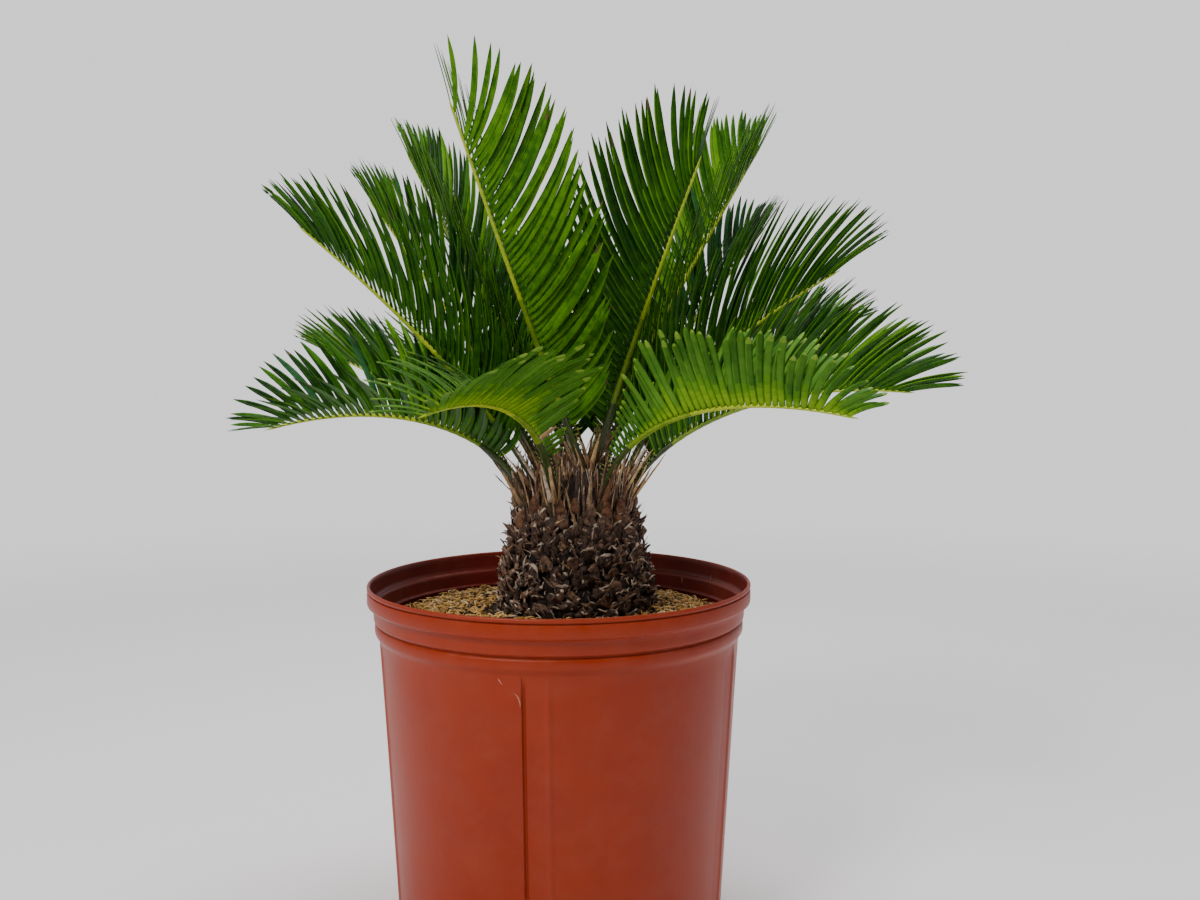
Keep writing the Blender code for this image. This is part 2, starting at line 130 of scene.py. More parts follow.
def dustGroup():  # pale dust that settles on what faces up, in patches
    tree, given = newGroup(
        "dust",
        (("Colour", "Color", (1, 1, 1, 1)), ("Dust", "Color", (0.5, 0.45, 0.38, 1)),
         ("Amount", "Float", 0.3), ("Scale", "Float", 40.0)),
        (("Colour", "Color"), ("Mask", "Float")))
    normal = addNode(tree, "ShaderNodeNewGeometry").outputs["Normal"]
    place = addNode(tree, "ShaderNodeTexCoord").outputs["Object"]
    upright = addNode(tree, "ShaderNodeSeparateXYZ", inputs={0: normal}).outputs["Z"]
    facing = remap(tree, upright, (-0.3, 1.0), (0.12, 1.0))
    patchy = remap(tree, cloud(tree, place, given["Scale"], 5.0, 0.7), (0.42, 0.72))
    settled = calculate(tree, "MULTIPLY", facing, patchy)
    mask = calculate(tree, "MULTIPLY", settled, given["Amount"], clamp=True)
    colour = mixColours(tree, mask, given["Colour"], given["Dust"])
    return closeGroup(tree, {"Colour": colour, "Mask": mask})


groups = {"mottle": mottleGroup(), "fibre": fibreGroup(), "dust": dustGroup()}


def useGroup(tree, name, inputs):
    return addNode(tree, "ShaderNodeGroup", {"node_tree": groups[name]}, inputs).outputs


def newFinish(name):
    finish = bpy.data.materials.new(name)
    finish.use_nodes = True
    return finish, finish.node_tree, finish.node_tree.nodes["Principled BSDF"]


def naturalFinish(name, dark, light, scale=80.0, contrast=0.5, rough=(0.5, 0.8), stretch=(1, 1, 1),
                  grain=300.0, bump=0.3, depth=0.0004, specular=0.5, dust=None):
    finish, tree, shader = newFinish(name)
    place = addNode(tree, "ShaderNodeTexCoord").outputs["Object"]
    clouds = useGroup(tree, "mottle", {"Place": place, "Scale": scale, "Contrast": contrast,
                                       "Dark": (*dark, 1), "Light": (*light, 1)})
    colour, roughness = clouds["Colour"], remap(tree, clouds["Mask"], result=rough)
    if dust:
        settled = useGroup(tree, "dust", {"Colour": colour, "Dust": (*dust["colour"], 1),
                                          "Amount": dust["amount"], "Scale": dust["scale"]})
        colour = settled["Colour"]
        roughness = calculate(tree, "MULTIPLY_ADD", settled["Mask"], dust["dulling"], roughness, clamp=True)
    streaks = useGroup(tree, "fibre", {"Place": place, "Stretch": stretch, "Scale": grain})
    relief = addNode(tree, "ShaderNodeBump",
                     inputs={"Height": streaks["Height"], "Strength": bump, "Distance": depth})
    feed(tree, shader, {"Base Color": colour, "Roughness": roughness, "Normal": relief.outputs["Normal"],
                        "Specular IOR Level": specular})
    return finish


# Camera, floor and lights
cameraLook = {
    "place": (0.0, -0.757, 0.379),
    "yaw": 2.04,
    "pitch": -3.97,
    "lens": 34.11,
}
studio = {
    "floorColour": (0.90, 0.885, 0.89),
    "floorRoughness": 0.85,
    "floorRadius": 6.0,
    "floorFade": (0.5, 2.2),  # the floor fades out between these distances, in metres
    "worldColour": (0.985, 0.97, 1.0),
    "seenStrength": 1.16,
    "lightStrengths": (0.20, 0.75),  # the soft light from the front and from behind
}
# name, place, aimed at, size, watts, colour
studioLights = (
    ("keyLight", (-0.95, -1.25, 1.75), (0, 0, 0.32), 0.7, 31.0, (1.0, 0.98, 0.95)),
    ("fillLight", (1.5, -1.0, 0.9), (0, 0, 0.3), 1.3, 1.5, (0.95, 0.97, 1.0)),
    ("topLight", (0.25, 0.55, 1.9), (0, 0, 0.4), 0.7, 24.0, (1.0, 1.0, 1.0)),
)


def addObject(name, data):
    thing = bpy.data.objects.new(name, data)
    bpy.context.scene.collection.objects.link(thing)
    return thing


def meshFrom(name, bm):
    mesh = bpy.data.meshes.new(name)
    bm.to_mesh(mesh)
    bm.free()
    return mesh


def aim(thing, place, way):
    thing.location = place
    thing.rotation_mode = "QUATERNION"
    thing.rotation_quaternion = way.to_track_quat("-Z", "Y")


def makeCamera(look):
    data = bpy.data.cameras.new("photoCamera")
    data.sensor_width = 36
    data.lens = look["lens"]
    data.clip_start = 0.02
    camera = addObject("photoCamera", data)
    yaw, pitch = math.radians(look["yaw"]), math.radians(look["pitch"])
    level = math.cos(pitch)
    aim(camera, look["place"], Vector((math.sin(yaw) * level, math.cos(yaw) * level, math.sin(pitch))))
    bpy.context.scene.camera = camera


def makeLights(lights):
    for name, place, target, size, watts, colour in lights:
        data = bpy.data.lights.new(name, "AREA")
        data.shape = "DISK"
        data.size = size
        data.energy = watts
        data.color = colour
        aim(addObject(name, data), place, Vector(target) - Vector(place))


def makeWorld(look):
    world = bpy.data.worlds.new("studioWorld")
    bpy.context.scene.world = world
    world.use_nodes = True
    tree = world.node_tree
    direction = addNode(tree, "ShaderNodeTexCoord").outputs["Generated"]
    ahead = addNode(tree, "ShaderNodeSeparateXYZ", inputs={0: direction}).outputs["Y"]
    soft = remap(tree, ahead, (-0.8, 0.8), look["lightStrengths"])
    seen = addNode(tree, "ShaderNodeLightPath").outputs["Is Camera Ray"]
    strength = mixValues(tree, seen, soft, look["seenStrength"])  # the backdrop is an even pale tone
    feed(tree, tree.nodes["Background"], {"Color": (*look["worldColour"], 1), "Strength": strength})


def makeFloor(look):
    disc = bmesh.new()
    bmesh.ops.create_circle(disc, cap_ends=True, segments=96, radius=look["floorRadius"])
    floor = addObject("studioFloor", meshFrom("studioFloor", disc))
    paint, tree, shader = newFinish("palePaperFloor")
    position = addNode(tree, "ShaderNodeNewGeometry").outputs["Position"]
    away = addNode(tree, "ShaderNodeVectorMath", {"operation": "LENGTH"}, {0: position}).outputs["Value"]
    feed(tree, shader, {"Base Color": (*look["floorColour"], 1), "Roughness": look["floorRoughness"],
                        "Alpha": remap(tree, away, look["floorFade"], (1, 0), "SMOOTHSTEP")})
    floor.data.materials.append(paint)


makeWorld(studio)
makeFloor(studio)
makeLights(studioLights)
makeCamera(cameraLook)
print("camera, floor and lights made")


# Mesh helpers
def mix(a, b, share):
    return a + (b - a) * share


def smooth(share):
    share = min(max(share, 0.0), 1.0)
    return share * share * (3 - 2 * share)


def polar(radius, degrees, z=0.0):
    angle = math.radians(degrees)
    return Vector((radius * math.cos(angle), radius * math.sin(angle), z))


def follow(table, value):  # straight lines between (value, result) pairs
    for (low, first), (high, second) in zip(table, table[1:]):
        if value <= high:
            return mix(first, second, (value - low) / (high - low))
    return table[-1][1]


def newBatch():
    return {"verts": [], "faces": [], "slots": []}


def addRings(batch, rings, slots):  # joins rings of points into a closed skin, a slot or a list for each span
    start, count = len(batch["verts"]), len(rings[0])
    spans = [span if isinstance(span, list) else [span] * count for span in slots]
    for ring in rings:
        batch["verts"].extend(ring)
    for i, span in enumerate(spans):
        a, b = start + i * count, start + (i + 1) * count
        for j in range(count):
            k = (j + 1) % count
            batch["faces"].append((a + j, a + k, b + k, b + j))
        batch["slots"].extend(span)
    for first, span in ((start, spans[0]), (start + len(spans) * count, spans[-1])):
        batch["faces"].append(tuple(range(first, first + count)))
        batch["slots"].append(span[0])


def addStrip(batch, points, normals, widths, thick, slots):  # a thin six-sided ribbon
    rings = []
    for i, (spot, normal, width) in enumerate(zip(points, normals, widths)):
        ahead = points[min(i + 1, len(points) - 1)] - points[max(i - 1, 0)]
        across = ahead.cross(normal).normalized() * width / 2
        high = normal.normalized() * min(thick, width) / 2
        rings.append([spot - across - high, spot - high, spot + across - high,
                      spot + across + high * 0.2, spot + high, spot - across + high * 0.2])
    addRings(batch, rings, slots)


def finishBatch(name, batch, finishes, nodes=(), sharp=None):
    mesh = bpy.data.meshes.new(name)
    mesh.from_pydata([tuple(v) for v in batch["verts"]], [], batch["faces"])
    mesh.update()
    for finish in finishes:
        mesh.materials.append(finish)
    mesh.polygons.foreach_set("material_index", batch["slots"])
    bm = bmesh.new()
    bm.from_mesh(mesh)
    bmesh.ops.recalc_face_normals(bm, faces=bm.faces)
    bm.to_mesh(mesh)
    bm.free()
    mesh.shade_smooth()
    if sharp:
        mesh.set_sharp_from_angle(angle=math.radians(sharp))
    piece = addObject(name, mesh)
    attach(piece, "root")
    if nodes:
        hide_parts(*nodes)
    print(name, "made:", sum(len(p.vertices) - 2 for p in mesh.polygons), "triangles")
    return piece


# Pot
pot = {
    "wall": 2.2,
    "floor": 3.2,
    "baseRadius": 107.8,
    "bodyTopRadius": 119.2,
    "bodyTopZ": 204.5,
    "grooves": (190.5, 259.5, 331.5, 403.5, 477.0),
    "channelWidth": 14.5,
    "grooveStep": 0.9,
    "grooveDepth": 1.8,
    "scoreDepth": 0.6,
    "ridgeHeight": 0.85,
    "grooveTopZ": 203.5,
    "grooveFootZ": 8.0,
    "rimWave": 0.5,
    "drainHoles": 6,
    "drainRadius": 6.5,
    "drainCircle": 80.0,
    "colour": ((0.280, 0.020, 0.0008), (0.328, 0.0275, 0.0015)),
    # painted shade: a darker copy of the plastic colour for the inside of the pot, where shade falls
    "paintedShadeInnerColour": ((0.165, 0.010, 0.0050), (0.225, 0.016, 0.0080)),
    "plastic": {
        "scale": 9.0,
        "rough": (0.33, 0.44),
        "stretch": (1, 1, 0.25),
        "grain": 260.0,
        "bump": 0.07,
        "depth": 0.0003,
        "specular": 0.27,
        "dust": {"colour": (0.45, 0.3, 0.22), "amount": 0.14, "scale": 55.0, "dulling": 0.8},
    },
}


def potProfile():  # radius and height in mm, up the outside, over the lip and down the inside
    base, top, topZ = pot["baseRadius"], pot["bodyTopRadius"], pot["bodyTopZ"]
    body = [(mix(base, top, i / 26), mix(3.0, topZ, i / 26)) for i in range(27)]
    outside = [(base - 3.0, 0.0), (base - 1.4, 0.25), (base - 0.4, 1.2)] + body + [
        (119.7, 206.0), (120.9, 207.6), (121.8, 209.0), (122.1, 210.2), (122.1, 213.0), (122.0, 214.4),
        (121.6, 215.1), (120.9, 215.4), (120.4, 215.8), (120.4, 216.4), (121.0, 216.9), (122.0, 217.2),
        (122.6, 217.8), (122.8, 218.8), (122.9, 222.5), (123.1, 225.6), (123.5, 226.6), (124.6, 227.1),
        (126.0, 227.5), (126.7, 228.1), (127.0, 229.2), (127.0, 232.5), (126.9, 235.0), (126.6, 236.1),
        (125.5, 236.4), (125.5, 236.9), (126.5, 237.2), (127.0, 237.9), (127.0, 238.9), (126.6, 239.6),
        (125.9, 240.0)]
    inside = [
        (125.2, 239.7), (124.8, 239.0), (124.6, 236.0), (124.4, 230.0), (124.1, 228.2), (123.1, 227.3),
        (121.5, 226.9), (120.9, 226.2), (120.7, 225.0), (120.5, 219.0), (120.3, 217.6), (119.2, 217.1),
        (118.4, 216.7), (118.2, 216.0), (118.5, 215.3), (119.2, 214.8), (119.5, 214.0), (119.4, 211.0),
        (118.6, 208.6), (117.4, 206.6), (117.0, 204.5)]
    wall, floor = pot["wall"], pot["floor"]
    inside += [(mix(top, base, i / 12) - wall, mix(topZ, floor + 2.0, i / 12)) for i in range(1, 13)]
    inside += [(base - wall - 0.6, floor + 0.6), (base - wall - 2.0, floor)]
    outer = len(outside)
    return outside + inside, outer


def grooveCut(column, z):  # how far the skin is pushed in at an angle and a height, in mm
    away = min(((column - middle + 180) % 360 - 180 for middle in pot["grooves"]), key=abs)
    radius = mix(pot["baseRadius"], pot["bodyTopRadius"], z / pot["bodyTopZ"])
    arc = math.radians(away) * radius
    step, wide = pot["grooveStep"], pot["channelWidth"]
    ends = smooth((pot["grooveTopZ"] - z) / 0.9) * smooth((z - pot["grooveFootZ"]) / 3.0)
    channel = pot["grooveDepth"] * smooth((arc + step) / step) * max(0.0, 1 - (arc + step) / wide) ** 0.8
    score = pot["scoreDepth"] * math.exp(-((arc - 0.4) / 0.9) ** 2)
    ridge = pot["ridgeHeight"] * math.exp(-((arc - wide - 0.6) / 1.5) ** 2)
    return (channel + score - ridge) * ends


def potColumns():
    columns = []
    middles = pot["grooves"]
    for middle, after in zip(middles, middles[1:] + (middles[0] + 360,)):
        near = [-1.2 + 0.16 * k for k in range(20)]  # close columns across the step
        panel = [2.2 + 0.45 * k for k in range(17)]
        rest = [11.5 + 2.5 * k for k in range(int((after - middle - 2.0 - 11.5) / 2.5))]
        columns += [middle + a for a in near + panel + rest]
    return columns


def makePot():
    profile, outer = potProfile()
    columns = potColumns()
    batch = newBatch()
    rings = []
    for row, (radius, z) in enumerate(profile):
        flex = smooth((z - 120) / 110)
        ring = []
        for column in columns:
            r = radius - (grooveCut(column, z) if pot["floor"] + 3 < z < pot["bodyTopZ"] else 0.0)
            wave = math.sin(math.radians(2 * column + 35)) * pot["rimWave"] * flex
            ring.append(polar((r + wave) * mm, column, z * mm))
        rings.append(ring)
    # the spans down the inside of the pot take the second slot, the painted shade
    addRings(batch, rings, [1 if row > outer else 0 for row in range(len(rings) - 1)])
    finishes = [naturalFinish("terracottaRedPlastic", *pot["colour"], **pot["plastic"]),
                naturalFinish("paintedShadeInnerPlastic", *pot["paintedShadeInnerColour"], **pot["plastic"])]
    piece = finishBatch("nursery_pot", batch, finishes, ["pot"], sharp=50)
    cutters = bmesh.new()
    radius = pot["drainRadius"] * mm
    for i in range(pot["drainHoles"]):
        spot = polar(pot["drainCircle"] * mm, 360 * (i + 0.5) / pot["drainHoles"], 1.5 * mm)
        bmesh.ops.create_cone(cutters, cap_ends=True, segments=32, radius1=radius, radius2=radius,
                              depth=12 * mm, matrix=Matrix.Translation(spot))
    cutter = addObject("drainCutters", meshFrom("drainCutters", cutters))
    drains = piece.modifiers.new("drains", "BOOLEAN")
    drains.operation = "DIFFERENCE"
    drains.solver = "EXACT"
    drains.object = cutter
    bpy.context.view_layer.update()
    shaped = piece.evaluated_get(bpy.context.evaluated_depsgraph_get())
    cutPot = bpy.data.meshes.new_from_object(shaped)
    piece.modifiers.clear()
    piece.data = cutPot
    bpy.data.objects.remove(cutter)


scratches = {  # angle and height along two shallow scratches beside the front groove
    "lines": (((257.0, 195.0), (257.9, 193.6), (258.5, 191.4), (258.8, 188.8), (258.85, 186.6)),
              ((252.6, 203.0), (252.9, 201.8), (253.3, 200.6), (253.9, 199.6))),
    "width": 0.62,
    "thick": 0.3,
}


def makeScratches():
    batch = newBatch()
    for line in scratches["lines"]:
        spots, facings, widths = [], [], []
        for i, (degrees, z) in enumerate(line):
            radius = mix(pot["baseRadius"], pot["bodyTopRadius"], (z - 3) / (pot["bodyTopZ"] - 3))
            spots.append(polar(radius * mm, degrees, z * mm))
            facings.append(polar(1, degrees))
            widths.append(scratches["width"] * mm * (0.25 + math.sin(math.pi * i / (len(line) - 1))))
        addStrip(batch, spots, facings, widths, scratches["thick"] * mm, [0] * (len(line) - 1))
    finish = naturalFinish("scratchedPlastic", (0.46, 0.13, 0.07), (0.62, 0.26, 0.17), rough=(0.4, 0.6),
                           scale=300)
    finishBatch("pot_scratches", batch, [finish])


makePot()
makeScratches()

# Potting mix and husks
mound = {
    "edgeZ": 212.0,
    "seatZ": 221.0,
    "seatRadius": 62.0,
    "edgeRadius": 117.0,
    "lumps": 1.6,
    "huskCount": 4600,
    "huskLength": (5.2, 7.6),
    "huskWidth": (1.1, 1.7),
    "huskMix": (0.46, 0.30, 0.14, 0.10),  # straw, golden, brown and pale
    "wallBits": 16,
    "seed": 31,
}
trunkAxis = Vector((10.7 * mm, 0, 0))


def moundHeight(x, y):
    away = Vector((x, y)).length / mm
    share = smooth((away - mound["seatRadius"] - 4) / (mound["edgeRadius"] - mound["seatRadius"] - 6))
    base = mix(mound["seatZ"], mound["edgeZ"], share)
    lumps = noise.noise(Vector((x, y, 0.0)) * 60) + 0.5 * noise.noise(Vector((x, y, 0.3)) * 170)
    return (base + mound["lumps"] * lumps) * mm


def makeSoil():
    batch = newBatch()
    columns = [360 * i / 150 for i in range(150)]
    wall = pot["wall"] + pot["grooveDepth"] + 1.0
    rings = []
    for radius, z in ((30.0, 4.0), (pot["baseRadius"] - wall - 1.5, 4.0), (pot["baseRadius"] - wall, 6.0),
                      (pot["bodyTopRadius"] - wall - 0.6, 196.0), (115.8, 205.0)):
        rings.append([polar(radius * mm, c, z * mm) for c in columns])
    for i in range(30):
        radius = mix(116.6, 26.0, i / 29) * mm
        ring = [polar(radius, c) for c in columns]
        rings.append([Vector((p.x, p.y, moundHeight(p.x, p.y))) for p in ring])
    addRings(batch, rings, [0] * (len(rings) - 1))
    finish = naturalFinish("dampPottingMix", (0.010, 0.004, 0.001), (0.05, 0.022, 0.008), scale=210,
                           contrast=1.0, rough=(0.75, 1.0), grain=700, bump=0.9, depth=0.002)
    finishBatch("potting_mix", batch, [finish], ["soil"])


def addGrain(batch, spot, along, up, length, width, slot):  # a boat-shaped husk
    across = along.cross(up).normalized()
    rings = []
    for share, size in ((0.0, 0.08), (0.22, 0.75), (0.55, 1.0), (0.85, 0.6), (1.0, 0.05)):
        middle = spot + along * length * (share - 0.5) + up * width * 0.35 * math.sin(math.pi * share)
        half = width / 2 * size
        rings.append([middle - across * half, middle - up * half * 0.6, middle + across * half,
                      middle + up * half * 0.7])
    addRings(batch, rings, [slot] * 4)


def makeHusks():
    rng = random.Random(mound["seed"])
    batch = newBatch()
    for _ in range(mound["huskCount"]):
        angle = rng.uniform(0, 360)
        radius = math.sqrt(rng.uniform(47.0 ** 2, 115.5 ** 2)) * mm
        spot = polar(radius, angle)
        if (spot - trunkAxis).length < 50 * mm:
            continue
        length = rng.uniform(*mound["huskLength"]) * mm
        width = rng.uniform(*mound["huskWidth"]) * mm
        reach = 116.5 * mm - spot.length
        turn = rng.uniform(0, 2 * math.pi)
        tilt = rng.gauss(0, 0.30) if reach > length / 2 else 0.1
        if reach < length / 2:  # grains by the wall lie along it
            turn = math.radians(angle + 90 + rng.uniform(-25, 25))
        along = Vector((math.cos(turn), math.sin(turn), math.tan(tilt))).normalized()
        up = (Vector((rng.gauss(0, 0.25), rng.gauss(0, 0.25), 1))).normalized()
        up = (up - along * up.dot(along)).normalized()
        lift = width * 0.3 + abs(rng.gauss(0, 1.3)) * mm
        spot.z = moundHeight(spot.x, spot.y) + lift
        addGrain(batch, spot, along, up, length, width, rng.choices((0, 1, 2, 3), mound["huskMix"])[0])
    for _ in range(mound["wallBits"]):  # a few bits stuck to the inside of the pot
        angle, z = rng.uniform(0, 360), rng.uniform(221, 236)
        radius = follow(((217.5, 119.9), (226.5, 120.3), (228.2, 123.6), (240.0, 124.2)), z)
        spot = polar(radius * mm, angle, z * mm)
        inward = polar(-1, angle)
        side = skyward.cross(inward)
        turn = rng.uniform(0, math.pi)
        along = side * math.cos(turn) + Vector((0, 0, math.sin(turn)))
        addGrain(batch, spot, along, inward, rng.uniform(2, 5) * mm, rng.uniform(0.5, 1.0) * mm, 0)
    husk = {"scale": 160, "grain": 900, "bump": 0.4, "depth": 0.0003}
    finishes = [
        naturalFinish("strawHusk", (0.55, 0.29, 0.06), (0.92, 0.58, 0.20), rough=(0.45, 0.7), **husk),
        naturalFinish("goldenHusk", (0.40, 0.19, 0.03), (0.66, 0.36, 0.07), rough=(0.45, 0.7), **husk),
        naturalFinish("brownHusk", (0.10, 0.045, 0.014), (0.25, 0.12, 0.04), rough=(0.6, 0.85), **husk),
        naturalFinish("paleHusk", (0.75, 0.54, 0.28), (0.95, 0.78, 0.50), rough=(0.4, 0.6),
                      **{**husk, "bump": 0.3}),
    ]
    finishBatch("husk_mulch", batch, finishes)


makeSoil()
makeHusks()

# Trunk: a dark core under overlapping plates, curled flakes, felted leaf bases and dry straps
trunk = {
    "footZ": 221.0,
    "waist": ((0, 48), (10, 48.5), (20, 47.5), (32, 45.5), (44, 42.5), (54, 40), (62, 38)),
    "domeHeight": 33.0,
    "domeRadius": 40.0,
    "plateRows": 11,
    "platesAround": 16,
    "chips": 620,
    "curls": 950,
    "feltBases": 44,
    "stubs": 30,
    "straps": {"outer": 150, "rim": 105, "inner": 95},
    "stalkStraps": 8,
    "spikes": 46,
    "seed": 7,
}
waistTop, waistTopRadius = trunk["waist"][-1]
domeZ = trunk["footZ"] + 0.8 + waistTop
bark = {"contrast": 0.9, "scale": 260, "grain": 1100, "stretch": (1, 1, 0.25)}
plate = {**bark, "rough": (0.65, 0.9), "bump": 0.8, "depth": 0.0007}
felt = {"contrast": 0.8, "scale": 200, "grain": 1400, "stretch": (1, 1, 0.2)}
straw = {"contrast": 0.7, "scale": 170, "grain": 1300, "stretch": (1, 1, 0.12)}
barkFinishes = {
    "core": naturalFinish("rottedBark", (0.006, 0.004, 0.003), (0.040, 0.026, 0.020), rough=(0.75, 1.0),
                          bump=0.9, depth=0.0012, **bark),
    "dark": naturalFinish("darkPlate", (0.022, 0.012, 0.008), (0.155, 0.090, 0.064), **plate),
    "brown": naturalFinish("brownPlate", (0.075, 0.036, 0.020), (0.330, 0.185, 0.112), **plate),
    "pale": naturalFinish("greyTanFlake", (0.30, 0.20, 0.13), (0.82, 0.66, 0.52), rough=(0.55, 0.8),
                          bump=0.5, **bark),
    "felt": naturalFinish("feltedBase", (0.060, 0.024, 0.010), (0.28, 0.120, 0.056), rough=(0.8, 1.0),
                          bump=1.0, depth=0.0009, **felt),
    "straw": naturalFinish("driedStrap", (0.24, 0.13, 0.050), (0.72, 0.46, 0.22), rough=(0.5, 0.75),
                           bump=0.6, **straw),
}
barkSlots = {kind: slot for slot, kind in enumerate(barkFinishes)}


def trunkPoint(degrees, height, out=0.0):  # a point of the trunk's skin and the way it faces, in metres
    if height <= waistTop:
        radius = follow(trunk["waist"], max(height, 0))
        slope = (follow(trunk["waist"], height + 1) - follow(trunk["waist"], max(height - 1, 0))) / 2
        facing = (polar(1, degrees) + Vector((0, 0, -slope))).normalized()
    else:
        rise = min((height - waistTop) / trunk["domeHeight"], 0.999)
        radius = waistTopRadius * math.sqrt(1 - rise * rise)
        facing = (polar(math.sqrt(1 - rise * rise), degrees) + Vector((0, 0, rise * 1.3))).normalized()
    spot = polar(radius * mm, degrees, (trunk["footZ"] + height) * mm)
    return spot + trunkAxis + facing * out * mm, facing


def makeTrunkCore():
    batch = newBatch()
    columns = [360 * i / 132 for i in range(132)]
    total = waistTop + trunk["domeHeight"]
    rings = []
    for i in range(64):
        ring = []
        for column in columns:
            spot, facing = trunkPoint(column, total * i / 64)
            crumble = noise.noise(spot * 190) * 2.2 + noise.noise(spot * 520) * 1.0
            sunk = mix(2.6, -0.5, smooth((total * i / 64 - waistTop) / 12))
            ring.append(spot + facing * (crumble - sunk) * mm)
        rings.append(ring)
    addRings(batch, rings, [0] * (len(rings) - 1))
    finishBatch("trunk_core", batch, [barkFinishes["core"]], ["trunk"])


# lowest and highest root above the waist, shortest and longest, and how far they lean out
strapKinds = {"outer": (-6, 6, 18, 40, 0.22), "rim": (4, 16, 14, 28, 0.22), "inner": (14, 32, 8, 18, 0.20)}
strapMix = (("dark", "brown", "felt", "pale", "straw"), (0.16, 0.34, 0.20, 0.08, 0.22))
bladeProfiles = {
    "pointed": ((0, 0.8), (0.25, 1.0), (0.6, 0.72), (1, 0.08)),
    "blunt": ((0, 0.85), (0.4, 1.0), (0.85, 0.8), (1, 0.4)),
    "strap": ((0, 1.0), (0.25, 0.72), (0.8, 0.42), (1, 0.08)),
    "strip": ((0, 0.45), (0.2, 1.0), (0.8, 0.85), (1, 0.2)),
}


def squared(way, facing):  # a direction, the one across it and the one it faces, at right angles
    way = way.normalized()
    across = way.cross(facing).normalized()
    return way, across, across.cross(way)


# a ragged dry blade: size is its length, width and thickness in mm, bend is its curl, twist and cup,
# and slots are for its faces and for its torn edges
def addBlade(batch, rng, root, way, facing, size, bend, profile, slots, steps=6):
    length, width, thick = (v * mm for v in size)
    curl, twist, cup = bend
    body, edge = (barkSlots[name] for name in slots)
    way, across, facing = squared(way, facing)
    rings = []
    for i in range(steps + 1):
        share = i / steps
        half = width / 2 * follow(bladeProfiles[profile], share) * rng.uniform(0.8, 1.15)
        high = min(thick / 2, half) * (1 - 0.5 * share)
        middle = root + across * width * rng.uniform(-0.08, 0.08)
        rim = facing * half * cup
        left, right = middle - across * half + rim, middle + across * half + rim
        rings.append([left - facing * high, middle - facing * high, right - facing * high,
                      right + facing * high * 0.5, middle + facing * high, left + facing * high * 0.5])
        turn = Matrix.Rotation(curl / steps * (0.4 + 1.2 * share), 3, across)
        spin = Matrix.Rotation(twist / steps, 3, way)
        way, facing = turn @ way, spin @ (turn @ facing)
        across = way.cross(facing).normalized()
        root = root + way * length / steps
    addRings(batch, rings, [[body, body, edge, body, body, edge]] * (steps - 1) + [[edge] * 6])


def risingFrom(degrees, facing, lift, lean=0.0):  # a direction up along the skin, lifted off it
    around = skyward.cross(polar(1, degrees))
    rising = (skyward - facing * facing.z).normalized()
    return rising * math.cos(lift) + facing * math.sin(lift) + around * lean


def makeTrunkPlates():
    rng = random.Random(trunk["seed"])
    batch = newBatch()
    rows, around = trunk["plateRows"], trunk["platesAround"]
    for row in range(rows):
        for i in range(around):
            degrees = 360 * (i + 0.5 * (row % 2)) / around + rng.uniform(-7, 7)
            height = mix(-2, waistTop - 10, row / (rows - 1)) + rng.uniform(-2.5, 2.5)
            upper = smooth((height - 34) / 24)
            root, facing = trunkPoint(degrees, height, -2.2)
            lift = mix(rng.uniform(0.15, 0.75), rng.uniform(0.05, 0.45), upper)
            way = risingFrom(degrees, facing, lift, rng.gauss(0, 0.25))
            long = mix(rng.uniform(8, 13), rng.uniform(9, 14), upper)
            size = (long, rng.uniform(7.5, 12.5), rng.uniform(1.2, 2.4))
            bend = (rng.uniform(-0.6, 1.1), rng.gauss(0, 0.35), rng.uniform(-0.35, 0.3))
            body = "dark" if rng.random() < 0.66 else "brown"
            edge = rng.choices(("dark", "brown", "pale"), (0.3, 0.45, 0.25))[0]
            profile = "pointed" if rng.random() < mix(0.35, 0.8, upper) else "blunt"
            addBlade(batch, rng, root, way, facing, size, bend, profile, (body, edge))
    finishBatch("trunk_scales", batch, barkFinishes.values())


